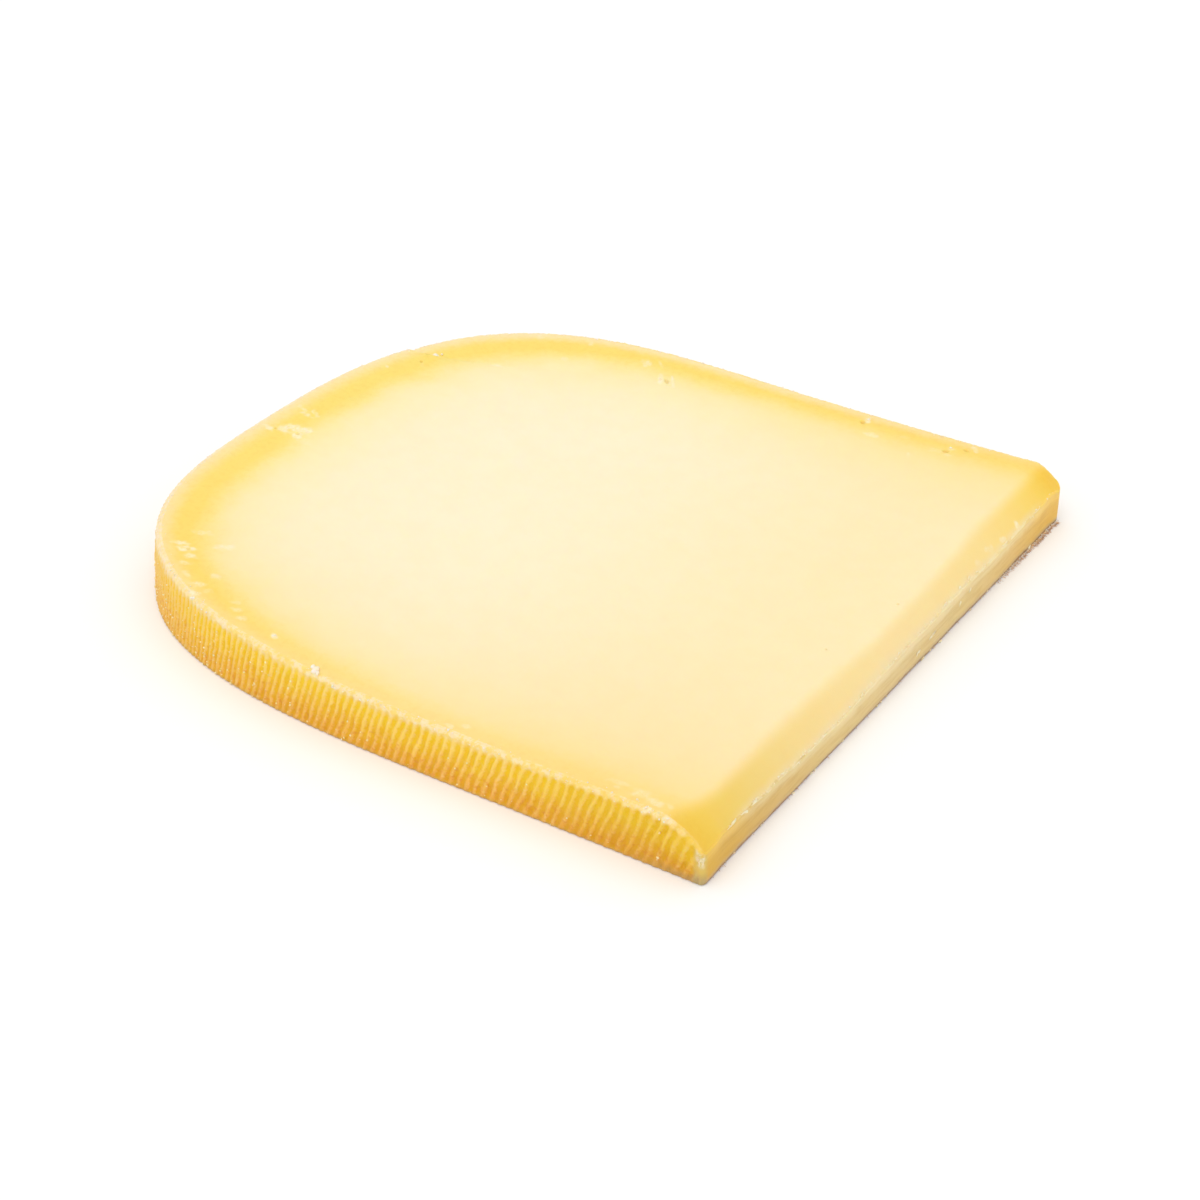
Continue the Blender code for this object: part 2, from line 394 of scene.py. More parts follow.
rind_s, rind_u, rind_v = rind_columns()
far_arc = arc_columns((END_X - FAR_CORNER, HALF - FAR_CORNER), FAR_CORNER, 90, 0)
near_arc = arc_columns((END_X - NEAR_CORNER, -HALF + NEAR_CORNER), NEAR_CORNER, 0, -90)
end_count = int((2 * HALF - NEAR_CORNER - FAR_CORNER) / END_COLUMN)
end_y = np.linspace(HALF - FAR_CORNER, -HALF + NEAR_CORNER, end_count)
end_bow = END_BOW * soft_noise(flat_points(np.zeros(end_count), end_y), END_BOW_SIZE, 6)
away_from_corner = smooth(FAR_CORNER, FAR_CORNER + 4, HALF - np.abs(end_y))
end_x = END_X + (end_bow - END_SET_BACK) * away_from_corner
print(len(rind_s), "rind columns,", end_count, "columns on the cut end")

# %% [markdown]
# ## From the foot to the shoulder
# The real slice has no sharp edges: its foot is slightly worn and its upper edge is a soft
# shoulder, broad on the crumbly rind and narrow on the cut end.  Each row of the band
# therefore says how high it lies and how far it is drawn in, and the rows at the foot and at
# the shoulder follow quarter circles.

# %% The rows of the band
FOOT_ROUND = 0.35               # radius of the worn foot
RIND_SHOULDER = 0.75            # the ragged edge between rind and face
END_SHOULDER = 0.22
FOOT_ROWS = 3
WALL_ROWS = 18
SHOULDER_ROWS = 6
CORNER_BLEND = 12               # columns over which rind and cut end pass into each other
FIRST_GUESS = 9.0               # height of the upper face, before the first round

base_x = np.concatenate([END_X - rind_u, far_arc[0], end_x, near_arc[0]])
base_y = np.concatenate([rind_v, far_arc[1], end_y, near_arc[1]])
columns = len(base_x)
on_rind = np.zeros(columns)
on_rind[:len(rind_s)] = 1.0
tangent = np.column_stack([np.roll(base_x, -1) - np.roll(base_x, 1),
                           np.roll(base_y, -1) - np.roll(base_y, 1)])
tangent /= np.linalg.norm(tangent, axis=1)[:, None]
outward = np.column_stack([-tangent[:, 1], tangent[:, 0]])
# The shoulder is broad on the rind and narrow on the cut end, and blends at the corners
window = np.hanning(2 * CORNER_BLEND + 1)
window /= window.sum()
wrapped = np.concatenate([on_rind[-CORNER_BLEND:], on_rind, on_rind[:CORNER_BLEND]])
rind_weight = np.convolve(wrapped, window, mode="valid")
shoulder = END_SHOULDER + (RIND_SHOULDER - END_SHOULDER) * rind_weight


def column_place(z, inset):
    """Where every column is at a height, moved in from the surface."""
    x = np.where(on_rind > 0, END_X - leaning(END_X - base_x, z), base_x)
    return x - outward[:, 0] * inset, base_y - outward[:, 1] * inset


# The band leans, so where it meets the face depends on its height: a few rounds settle both
top_z = np.full(columns, FIRST_GUESS)
for _ in range(4):
    edge_x, edge_y = column_place(top_z, shoulder)
    top_z = top_height(edge_x, edge_y)

row_inset, row_height, row_share = [], [], []
for angle in np.linspace(0.0, math.pi / 2, FOOT_ROWS, endpoint=False):
    row_inset.append(np.full(columns, FOOT_ROUND * (1 - math.sin(angle))))
    row_height.append(np.full(columns, FOOT_ROUND * (1 - math.cos(angle))))
    row_share.append(0.0)
for share in np.linspace(0.0, 1.0, WALL_ROWS, endpoint=False):
    row_inset.append(np.zeros(columns))
    row_height.append(FOOT_ROUND + share * (top_z - shoulder - FOOT_ROUND))
    row_share.append(0.0)
for angle in np.linspace(0.0, math.pi / 2, SHOULDER_ROWS + 1):
    row_inset.append(shoulder * (1 - math.cos(angle)))
    row_height.append(top_z - shoulder * (1 - math.sin(angle)))
    row_share.append(angle / (math.pi / 2))
rows = len(row_inset)
print(rows, "rows,", 2 * columns * (rows - 1), "triangles in the band")

# %% [markdown]
# ## The points of the band
# Every point of the band needs more than its place: how far up it lies, how much it belongs
# to the rind, which way is out and how many ridges lie behind it.  The ridges lean a little
# on the real slice, so that last number changes with the height as well.

# %% Points of the band
band = np.zeros((rows, columns, 3))
for row in range(rows):
    band[row, :, 0], band[row, :, 1] = column_place(row_height[row], row_inset[row])
    band[row, :, 2] = row_height[row]
band_rise = np.array([band[r, :, 2] / top_z for r in range(rows)])
band_over = np.repeat(np.array(row_share)[:, None], columns, axis=1)
band_rind = np.repeat(rind_weight[None, :], rows, axis=0)
band_out = np.zeros((rows, columns, 3))
band_out[:, :, :2] = outward[None, :, :]
band_out[:, :, :2] *= np.cos(band_over * math.pi / 2)[:, :, None]
band_out[:, :, 2] = np.sin(band_over * math.pi / 2)

# mm along the rind from either end, how far a ridge slides towards that end as it rises
RIDGE_LEANS = ((0.0, 0.36), (64.0, 0.36), (74.0, 0.28), (90.0, 0.27), (104.0, 0.14))

# A column that stands upright or leans with the wheel crosses the ridges a little
band_phase = np.zeros((rows, columns))
pitch_here = np.ones(columns)
pitch_here[:len(rind_s)] = pitch_at(rind_s)
lean_here = np.zeros(columns)
lean_here[:len(rind_s)] = from_table(RIDGE_LEANS, np.minimum(rind_s, line_s[-1] - rind_s))
for row in range(rows):
    slid = band[row, :, 0] + outward[:, 0] * row_inset[row] - base_x
    across = lean_here * row_height[row] - slid
    band_phase[row, :len(rind_s)] = np.interp(rind_s, line_s, line_turns)
    band_phase[row] -= tangent[:, 0] * across / pitch_here * on_rind
print("band from", round(float(top_z.min()), 2), "to", round(float(top_z.max()), 2), "mm high")

# %% [markdown]
# ## Filling the two cut faces
# The upper face needs fine points near the rind, where the paste is torn, and coarse ones in
# the smooth middle.  A grid would waste most of its points, so the points are laid in
# staggered rows at a spacing that grows with the distance from the rind, and a Delaunay
# triangulation joins them to the band.

# %% Helpers that lay out points
rind_line = band[-1, :len(rind_s), :2][::3]
BATCH = 4000                    # points that are measured at once
JITTER, MARK_JITTER = 0.12, 0.2  # share of the spacing
EDGE_MARGIN = 0.12
CROWDED = 0.11                  # points in one cell of this size are too close


def nearest_rind(x, y):
    """Distance in mm to the nearest rind, and how far along the rind that is."""
    found, share = np.empty(len(x)), np.empty(len(x))
    for start in range(0, len(x), BATCH):
        part = slice(start, start + BATCH)
        dx = x[part, None] - rind_line[None, :, 0]
        dy = y[part, None] - rind_line[None, :, 1]
        away = dx * dx + dy * dy
        found[part] = np.sqrt(away.min(axis=1))
        share[part] = away.argmin(axis=1) / (len(rind_line) - 1)
    return found, share


def staggered(spacing, jitter, rng, centre=None, reach=None):
    """Points in staggered rows over the slice, or in a disc round one place."""
    if centre is None:
        x0, x1, y0, y1 = RIM_X, END_X, -HALF, HALF
    else:
        x0, x1 = centre[0] - reach, centre[0] + reach
        y0, y1 = centre[1] - reach, centre[1] + reach
    rise = spacing * math.sqrt(3) / 2
    y, x = np.mgrid[y0:y1:rise, x0:x1:spacing]
    x = x + (np.arange(len(x)) % 2)[:, None] * spacing / 2
    x, y = x.ravel(), y.ravel()
    x = x + rng.uniform(-jitter, jitter, len(x)) * spacing
    y = y + rng.uniform(-jitter, jitter, len(y)) * spacing
    if centre is not None:
        keep = np.hypot(x - centre[0], y - centre[1]) < reach
        x, y = x[keep], y[keep]
    return np.column_stack([x, y])


def inside_line(points, outline, margin):
    """Keep the points that lie inside an outline by at least a margin."""
    a, b = outline, np.roll(outline, -1, axis=0)
    keep = np.zeros(len(points), dtype=bool)
    for start in range(0, len(points), BATCH):
        p = points[start:start + BATCH]
        above = (a[None, :, 1] > p[:, None, 1]) != (b[None, :, 1] > p[:, None, 1])
        rise = np.where(np.abs(b[:, 1] - a[:, 1]) < 1e-9, 1e-9, b[:, 1] - a[:, 1])
        cross = a[None, :, 0] + (p[:, None, 1] - a[None, :, 1]) * (b - a)[None, :, 0] / rise
        inside = (above & (p[:, None, 0] < cross)).sum(axis=1) % 2 == 1
        dx = p[:, None, 0] - outline[None, ::2, 0]
        dy = p[:, None, 1] - outline[None, ::2, 1]
        keep[start:start + BATCH] = inside & ((dx * dx + dy * dy).min(axis=1) > margin ** 2)
    return points[keep]


# %% Points and triangles of the two faces
# spacing, from this distance to that distance from the rind, in mm
TOP_ZONES = ((0.27, 0.0, 1.1), (0.42, 1.1, 3.4), (0.70, 3.4, 8.0), (1.1, 8.0, 17.0),
             (1.7, 17.0, 200.0))
ROLL_ZONES = ((0.32, 0.0, 1.0), (0.6, 1.0, 9.0))
FOOT_ZONES = ((0.6, 0.0, 1.6), (1.1, 1.6, 5.0), (2.2, 5.0, 200.0))
MARK_SPACING = 0.17
# marks, spacing of the points in them, reach as a share of their half length
MARK_ZONES = ((TORN, MARK_SPACING * 1.2, 1.2), (EYES, MARK_SPACING * 0.75, 1.9))


def face_points(outline, zones, end_zones, mark_zones, seed):
    """Points for one of the two cut faces, finest near the rind and the marks."""
    rng = np.random.default_rng(seed)
    groups = []
    for spacing, start, stop in zones:
        p = staggered(spacing, JITTER, rng)
        away = nearest_rind(p[:, 0], p[:, 1])[0]
        groups.append(p[(away >= start) & (away < stop)])
    for spacing, start, stop in end_zones:
        p = staggered(spacing, JITTER, rng)
        away = END_X - p[:, 0]
        groups.append(p[(away >= start) & (away < stop)])
    for marks, spacing, reach in mark_zones:
        for along, across, long, *_rest in marks:
            groups.append(staggered(spacing, MARK_JITTER, rng, spot(along, across),
                                    long * reach))
    points = inside_line(np.vstack(groups), outline, EDGE_MARGIN)
    # Points that crowd each other make slivers, so only one of them is kept
    cell = np.round(points / CROWDED).astype(int)
    _, first = np.unique(cell, axis=0, return_index=True)
    return points[np.sort(first)]


def fill(outline, inner):
    """Triangles that fill an outline through its inner points, seen from above."""
    count = len(outline)
    points = [Vector(p) for p in np.vstack([outline, inner])]
    made = delaunay_2d_cdt(points, [], [list(range(count))], 1, 1e-6)
    origin = [ids[0] for ids in made[3]]
    return [[origin[i] for i in face] for face in made[2]]


top_outline = band[-1, :, :2]
foot_outline = band[0, :, :2]
top_inner = face_points(top_outline, TOP_ZONES, ROLL_ZONES, MARK_ZONES, 11)
foot_inner = face_points(foot_outline, FOOT_ZONES, (), (), 12)
top_faces = fill(top_outline, top_inner)
foot_faces = fill(foot_outline, foot_inner)
print(len(top_faces), "triangles on the upper face,", len(foot_faces), "underneath")

# %% [markdown]
# ## One closed slice
# The slice is one piece of food, so the band and the two faces become one closed mesh that
# shares its points along the edges.  Three loose meshes would look the same at first, but
# pressing the ridges would then open gaps between them.

# %% Join the band and the two faces
def build_slice():
    """One closed mesh: the band, the upper face and the resting face."""
    faces = []
    for row in range(rows - 1):
        for i in range(columns):
            j = (i + 1) % columns
            a, b = row * columns, (row + 1) * columns
            faces.append((a + i, b + i, b + j, a + j))
    top_start = (rows - 1) * columns
    first_top = rows * columns
    first_foot = first_top + len(top_inner)
    for face in top_faces:
        faces.append([top_start + i if i < columns else first_top + i - columns for i in face])
    for face in foot_faces:
        faces.append([i if i < columns else first_foot + i - columns for i in reversed(face)])
    top_points = np.column_stack([top_inner, top_height(top_inner[:, 0], top_inner[:, 1])])
    foot_points = np.column_stack([foot_inner, np.zeros(len(foot_inner))])
    return np.vstack([band.reshape(-1, 3), top_points, foot_points]), faces


slice_points, slice_faces = build_slice()
cheese = make_mesh("cheese_slice", slice_points, slice_faces)
print(len(slice_points), "points in the slice")

# %% [markdown]
# ## What each point knows
# The ridges and the colours both follow the place on the slice: how far in from the rind a
# point lies, how far up, and what belongs to the rind or to the cut end.  These numbers are
# worked out once and stored on the mesh, so that the node trees can read them by name.

# %% Values stored on the slice
RELIEF_FADE = 1.5               # the ridges fade over this height below the ragged edge
CORNER_FADE = 0.4               # and over this much less near the corners
ROLL_FLOOR = 2.0                # only points above this height belong to the pressed roll
# The dry zone is broad at the rim and loses its outer part along the wheel's flat faces
# share of the way along the rind, mm of the zone that are missing
ZONE_START = ((0.0, 6.5), (0.12, 7.0), (0.2, 4.9), (0.27, 2.8), (0.36, 0.6), (0.44, 0.0),
              (0.6, 0.0), (0.72, 0.5), (0.8, 1.9), (0.88, 3.3), (1.0, 4.5))


def spread(values, top_value, foot_value):
    """A value for the band's points, then the upper face's, then the resting face's."""
    return np.concatenate([np.asarray(values).reshape(-1),
                           np.broadcast_to(top_value, len(top_inner)),
                           np.broadcast_to(foot_value, len(foot_inner))])


below = np.array([top_z - band[r, :, 2] for r in range(rows)])
near_end = np.zeros(columns)
near_end[:len(rind_s)] = smooth(24.0, 8.0, rind_u)
fading = RELIEF_FADE - CORNER_FADE * near_end
relief = smooth(-0.4, 1.0, band[:, :, 2]) * smooth(-0.2, 1.0, below / fading)
# A torn patch runs on over the edge of the rind
torn_over = torn_share(*band.reshape(-1, 3)[:, :2].T).reshape(rows, columns)
torn_over = torn_over * smooth(1.4, 0.3, below) * band_rind
from_rind, along_rind = nearest_rind(*slice_points[:, :2].T)
missing = from_table(ZONE_START, along_rind)
outward_all = np.zeros((len(slice_points), 3))
outward_all[:rows * columns] = band_out.reshape(-1, 3)
for name, values in (
        ("phase", spread(band_phase, 0.0, 0.0)),
        ("rind", spread(band_rind * smooth(1.0, 0.55, band_over), 0.0, 0.0)),
        ("relief", spread(band_rind * relief, 0.0, 0.0)),
        ("shoulder", spread(band_over * band_rind, 0.0, 0.0)),
        ("edge", spread(band_over * (1 - band_rind), 0.0, 0.0)),
        ("rise", spread(band_rise, 1.0, 0.0)),
        ("torn", spread(torn_over, torn_share(*top_inner.T), 0.0)),
        ("eye", spread(np.zeros((rows, columns)), eye_share(*top_inner.T), 0.0)),
        ("depth_in", from_rind),
        ("dry_depth", from_rind + missing),
        ("below_edge", spread(below, 0.0, 0.0)),
        ("cut_end", spread(1 - band_rind, 0.0, 0.0)),
        ("roll", np.where(slice_points[:, 2] > ROLL_FLOOR,
                          roll_share(*slice_points[:, :2].T), 0.0)),
        ("outward", outward_all)):
    give_values(cheese, name, values)
print(len(cheese.data.attributes), "attributes, deepest point", round(from_rind.max()), "mm in")

# %% [markdown]
# ## Nodes from script
# Both the shaders and the shape trees are built by the same small functions.  One adds a
# node, sets its options and fills its sockets with values or with other nodes' outputs.  The
# others are short names for what is needed often, so that a line reads as what it means.

# %% Helpers for nodes
Socket = bpy.types.NodeSocket


def plug(made, inputs):
    """Fill a node's sockets, by name or number, with values or other nodes' outputs."""
    for name, value in inputs.items():
        if isinstance(value, Socket):
            made.id_data.links.new(value, made.inputs[name])
        else:
            made.inputs[name].default_value = value


def node(tree, kind, inputs=None, **options):
    """Add a node with its options and its inputs."""
    made = tree.nodes.new(kind)
    for name, value in options.items():
        setattr(made, name, value)
    plug(made, inputs or {})
    return made


def tree_of(*values):
    """The tree of the first socket among some values, where the next node belongs."""
    return next(value.id_data for value in values if isinstance(value, Socket))


def calc(operation, *values):
    """A maths node and its result."""
    inputs = dict(enumerate(values))
    return node(tree_of(*values), "ShaderNodeMath", inputs, operation=operation).outputs[0]


def times(product, *values):
    """The product of two or more values."""
    for value in values:
        product = calc("MULTIPLY", product, value)
    return product


def stretch(value, factor, added):
    """A value times a factor, plus what is added."""
    return calc("MULTIPLY_ADD", value, factor, added)


def vector_calc(operation, first, second=None, scale=None):
    """A vector maths node and its result, which is one number when it measures."""
    inputs = {0: first, 1: second, "Scale": scale}
    given = {name: value for name, value in inputs.items() if value is not None}
    made = node(tree_of(first), "ShaderNodeVectorMath", given, operation=operation)
    measures = operation in ("LENGTH", "DISTANCE", "DOT_PRODUCT")
    return made.outputs["Value" if measures else 0]


def remap(value, from_low, from_high, to_low=0.0, to_high=1.0):
    """Turn one range of numbers into another, smoothly and without running past it."""
    made = node(tree_of(value), "ShaderNodeMapRange",
                {"Value": value, "From Min": from_low, "From Max": from_high,
                 "To Min": to_low, "To Max": to_high}, interpolation_type="SMOOTHSTEP")
    return made.outputs[0]


# %% [markdown]
# ## Painting with numbers
# Food has no single colour.  Its look is a stack of thin layers, each with a place, a
# strength and a shade, and each of them broken up by noise.  The layers could be painted by
# hand, but numbers stay sharp at any distance and can be changed one by one.

# %% Helpers for materials
def colour(red, green, blue):
    """A colour on the usual 0 to 255 scale, turned into what the shader wants."""
    made = []
    for value in (red, green, blue):
        share = value / 255
        made.append(share / 12.92 if share < 0.04045 else ((share + 0.055) / 1.055) ** 2.4)
    return (*made, 1.0)


def new_material(name):
    """A material, its tree, its main shader and the place on the object."""
    made = bpy.data.materials.new(name)
    made.use_nodes = True
    tree = made.node_tree
    place = node(tree, "ShaderNodeTexCoord").outputs["Object"]
    return made, tree, tree.nodes["Principled BSDF"], place


def stored(tree, name):
    """A value that was stored on the mesh."""
    return node(tree, "ShaderNodeAttribute", attribute_name=name).outputs["Fac"]


def blend(share, first, second, mode="MIX"):
    """Mix two colours."""
    made = node(tree_of(share), "ShaderNodeMix", {0: share, 6: first, 7: second},
                data_type="RGBA", blend_type=mode)
    return made.outputs[2]


def grain(coords, scale, detail=2.0, rough=0.5):
    """Noise from zero to one with lumps of about 1 / scale metres."""
    made = node(tree_of(coords), "ShaderNodeTexNoise",
                {"Vector": coords, "Scale": scale, "Detail": detail, "Roughness": rough})
    return made.outputs[0]


def patches(coords, scale, low_end, high_end, detail=2.0, rough=0.5):
    """Noise as patches: zero below one level and one above another."""
    return remap(grain(coords, scale, detail, rough), low_end, high_end)


def swing(coords, scale, width, detail=2.0, rough=0.5):
    """Noise that swings round zero, from one half of a width to the other."""
    return stretch(grain(coords, scale, detail, rough), width, -width / 2)


def ramp(distance, stops, reach):
    """A colour ramp whose stops lie at distances out of a whole reach."""
    share = calc("DIVIDE", distance, reach)
    made = node(tree_of(share), "ShaderNodeValToRGB", {0: share})
    elements = made.color_ramp.elements
    while len(elements) < len(stops):
        elements.new(0.5)
    for element, (at, shade) in zip(elements, stops):
        element.position = at / reach
        element.color = colour(*shade)
    return made.outputs[0]


def paint(base, layers):
    """Lay colours over a base: share, strength, colour and perhaps a blend mode."""
    for share, strength, shade, *mode in layers:
        if strength < 1.0:
            share = times(share, strength)
        base = blend(share, base, colour(*shade), *mode)
    return base


# %% [markdown]
# ## Colour of the paste
# Fresh paste is pale cream in the middle.  Towards the rind it has dried, so it turns a clear
# butter yellow that is deepest a few millimetres in, and the very edge is chalky again.  A
# colour ramp over the distance to the rind says that directly, and soft noise keeps the bands
# from looking drawn.  Broad weak layers then warm the near and far sides where the air came
# nearest, and darken the paste towards the thin end as painted shade, as that end is lit less.

# %% Colour of the paste
END = END_X * MM                # shaders measure in metres
RIM = RIM_X * MM
# distance to the rind in mm where the zone is broadest, colour there
PASTE = ((0.0, (249, 226, 170)), (0.9, (249, 224, 148)), (2.2, (249, 222, 128)),
         (3.6, (249, 220, 110)), (5.6, (249, 220, 110)), (7.4, (249, 225, 133)),
         (9.4, (250, 230, 160)), (11.6, (251, 233, 178)), (15.0, (251, 235, 188)),
         (20.0, (252, 236, 197)), (30.0, (252, 237, 202)))
PASTE_REACH = 34.0

slice_material, tree, shader, place = new_material("cheese_paste_and_rind")
over_ground = node(tree, "ShaderNodeSeparateXYZ", {0: place})
along_x, along_y = over_ground.outputs[0], over_ground.outputs[1]
depth_in = stored(tree, "depth_in")
# Broad lobes bend the bands away from the rind, and small ones fray them everywhere
lobes = times(swing(place, 110.0, 5.0), remap(depth_in, 1.0, 10.0))
small = swing(place, 700.0, 1.4, 3.0)
distance = calc("ADD", stored(tree, "dry_depth"), calc("ADD", lobes, small))
# The rim of the face is chalky, most of all on the far side
far_side = times(remap(along_y, 0.020, 0.048), remap(along_x, 0.056, 0.030))
chalky = times(remap(calc("ADD", depth_in, small), 3.0, 0.0), stretch(far_side, 0.50, 0.40))
# painted shade: the paste darkens towards the thin end, which is lit less
painted_shade_toward_end = remap(along_x, -0.012, END * 0.85)
toward_near = remap(along_y, -0.008, -HALF * MM)
toward_far = remap(along_y, 0.022, 0.050)
mottle = patches(place, 260.0, 0.3, 0.7, 3.0)
# Dried paste is speckled where it is deepest in colour
speckle = times(patches(place, 1100.0, 0.42, 0.68, 3.0, 0.6), remap(distance, 12.0, 6.0))
paste = paint(ramp(distance, PASTE, PASTE_REACH), (
    (chalky, 1.0, (250, 229, 178)),
    (painted_shade_toward_end, 1.0, (255, 248, 229), "MULTIPLY"),
    (toward_near, 1.0, (255, 249, 241), "MULTIPLY"),
    (toward_far, 1.0, (255, 253, 246), "MULTIPLY"),
    (mottle, 0.5, (255, 252, 246), "MULTIPLY"),
    (speckle, 0.3, (250, 241, 214), "MULTIPLY")))
print(len(PASTE), "shades from the rind to the middle of the paste")

# %% [markdown]
# ## Colour of the pressed edge
# Where the thin end was pressed down, the paste is deeper and more yellow, most of all close
# to the rind.  This is partly the paste's own colour and partly painted shade, as the roll
# slopes away from the light.  The stored roll says where that is.  Multiplying keeps the bands
# of the paste visible underneath, which a plain coat of colour would hide.

# %% Colour of the pressed edge
# distance to the rind in mm, how the pressed edge deepens the colour
PRESSED = ((0.0, (252, 245, 166)), (10.0, (253, 248, 195)), (20.0, (254, 251, 224)),
           (34.0, (255, 253, 241)), (50.0, (255, 255, 253)))
PRESSED_REACH = 60.0

# partly painted shade: the roll slopes away from the light, and part of its deeper yellow is
# the paste's own
rolled_tone_and_shade = remap(stored(tree, "roll"), 0.0, 0.5)
near_part = remap(along_y, -0.012, -0.045)
# The very lip over the cut is browner
lip = times(remap(along_x, END - 0.0012, END - 0.0003), remap(depth_in, 5.0, 13.0))
paste = paint(paste, ((rolled_tone_and_shade, 1.0, (254, 247, 226), "MULTIPLY"),))
paste = blend(rolled_tone_and_shade, paste, ramp(depth_in, PRESSED, PRESSED_REACH), "MULTIPLY")
paste = paint(paste, (
    (times(rolled_tone_and_shade, near_part), 1.0, (247, 252, 255), "MULTIPLY"),
    (times(lip, 0.5, rolled_tone_and_shade), 1.0, (241, 221, 178))))
print(len(PRESSED), "shades along the pressed edge")

# %% [markdown]
# ## Colour of the cut end
# The cut end stands away from the light and has dried to a tan, paler along its upper edge.
# The grey, then dark, foot is painted shadow where the slice meets the table.  Two ramps over
# the distance to the rind give the middle and the upper edge, the height blends them, and
# noise drawn out sideways leaves the streaks that the knife dragged along.

# %% Colour of the cut end
# distance to the rind in mm, colour of the cut end halfway up and along its upper edge
END_MIDDLE = ((0.0, (236, 184, 50)), (7.0, (235, 187, 72)), (12.0, (233, 190, 96)),
              (20.0, (232, 195, 116)), (34.0, (231, 202, 132)), (50.0, (232, 204, 140)))
END_UPPER = ((0.0, (251, 207, 80)), (7.0, (250, 209, 106)), (12.0, (243, 214, 142)),
             (20.0, (241, 216, 152)), (34.0, (241, 218, 160)), (50.0, (243, 220, 166)))

rise = stored(tree, "rise")
worn = swing(place, 420.0, 0.5, 4.0, 0.6)
drawn = node(tree, "ShaderNodeMapping", {"Vector": place, "Scale": (1.0, 0.10, 1.0)})
dragged = patches(drawn.outputs[0], 1800.0, 0.42, 0.68, 3.0, 0.6)
upper = remap(stretch(worn, 0.4, rise), 0.60, 0.92)
cut = blend(upper, ramp(depth_in, END_MIDDLE, PRESSED_REACH),
            ramp(depth_in, END_UPPER, PRESSED_REACH))
from_foot = stretch(worn, 0.3, rise)
cut = paint(cut, (
    (near_part, 1.0, (243, 243, 243), "MULTIPLY"),
    (dragged, 0.55, (241, 232, 216), "MULTIPLY"),
    # painted shadow: grey, then dark brown, along the foot where the cut end meets the table
    (remap(from_foot, 0.26, 0.08), 0.65, (204, 178, 138)),
    (remap(from_foot, 0.15, 0.05), 0.9, (158, 112, 78))))
paste = blend(remap(stored(tree, "cut_end"), 0.3, 0.9), paste, cut)
print(len(END_MIDDLE) + len(END_UPPER), "shades on the cut end")

# %% [markdown]
# ## Colour of the rind
# The rind has dusty pinkish crests between broad yellow grooves and goes tan towards the
# foot.  Painted shadow darkens its lowest edge, and a wedge low down near the thin end.
# Crests and grooves could be coloured by their slope, but the tree that presses the ridges
# stores how high each point stands, and that gives a cleaner line.  The crests are knotty,
# so their dry tone comes and goes along each of them.

# %% Colour of the rind
# the shade near the foot, then the one near the upper edge
CREST = ((241, 178, 76), (255, 214, 100))
GROOVE = ((233, 171, 4), (246, 203, 2))

ridge = stored(tree, "ridge")
high_up = remap(stretch(grain(place, 280.0, 3.0), 0.6, rise), 0.35, 1.1)
toward_rim = remap(along_x, 0.0, RIM * 0.8)
under_edge = times(remap(stored(tree, "below_edge"), 2.8, 1.2), remap(along_x, 0.030, -0.010))
crest = paint(blend(high_up, colour(*CREST[0]), colour(*CREST[1])), (
    (toward_rim, 0.45, (255, 218, 124)),))
groove = paint(blend(high_up, colour(*GROOVE[0]), colour(*GROOVE[1])), (
    (toward_rim, 0.30, (255, 208, 3)),
    (under_edge, 0.45, (252, 216, 40))))
corner_near = remap(along_x, END * 0.35, END * 0.9)
knots = swing(place, 1600.0, 2.6, 4.0, 0.75)
on_crest = times(remap(calc("ADD", ridge, knots), 0.18, 0.84), stretch(corner_near, -0.35, 1.0))
dust = times(patches(place, 1700.0, 0.5, 0.72, 3.0), remap(ridge, 0.2, 0.8))
freckle = times(patches(place, 1500.0, 0.55, 0.68), remap(rise, 0.75, 0.2))
# painted shadow: a grey-brown wedge low on the rind over the last 14 mm before the thin end
painted_shadow_near_end_foot = times(remap(along_x, END - 0.014, END), remap(rise, 0.24, 0.04))
rind_colour = paint(blend(on_crest, groove, crest), (
    (dust, 0.45, (254, 214, 150)),
    (remap(along_x, -0.028, -0.056), 0.5, (236, 176, 92)),
    (freckle, 0.5, (224, 144, 44)),
    (corner_near, 1.0, (246, 244, 224), "MULTIPLY"),
    (painted_shadow_near_end_foot, 0.75, (182, 146, 96)),
    # painted shadow: a dark line along the very foot of the rind, where it meets the table
    (remap(rise, 0.08, 0.0), 0.7, (204, 158, 92))))
skin = remap(stored(tree, "rind"), 0.15, 0.6)
body = blend(skin, paste, rind_colour)
print(len(tree.nodes), "nodes from the paste to the rind")

# %% [markdown]
# ## The crumbly edge
# The wire breaks the dry rind instead of cutting it, so the ridges fade into a pale crumbly
# edge that reaches lower on some crests than on others.  The distance below the edge, frayed
# with noise, gives that line, and it narrows towards the thin end as the slice gets thinner.

# %% Colour of the crumbly edge
ragged = grain(place, 620.0, 4.0, 0.62)
fade = stretch(ragged, 1.6, stretch(ridge, 0.15, -0.85))
narrowed = times(stored(tree, "below_edge"), stretch(corner_near, 1.0, 1.0))
pale = times(remap(calc("SUBTRACT", narrowed, fade), 1.9, 0.1), skin)
edge_zone = times(remap(stored(tree, "shoulder"), 0.0, 0.35), remap(depth_in, 0.6, 0.0))
corner_tip = remap(along_x, END - 0.006, END - 0.002)
pale = times(calc("MAXIMUM", pale, edge_zone),
             stretch(corner_near, -0.28, 1.0), stretch(corner_tip, -0.75, 1.0))
edge_colour = blend(remap(along_x, RIM * 0.3, RIM * 0.75),
                    colour(248, 216, 126), colour(250, 223, 168))
body = blend(times(pale, 0.9), body, edge_colour)
flour = times(pale, patches(place, 1000.0, 0.40, 0.62, 3.0, 0.65))
split = times(remap(stored(tree, "edge"), 0.05, 0.5),
              remap(ragged, 0.38, 0.58), remap(depth_in, 4.0, 14.0))
body = paint(body, (
    (flour, 0.6, (250, 231, 208)),
    (split, 0.45, (246, 230, 192))))
print(len(tree.nodes), "nodes with the crumbly edge")
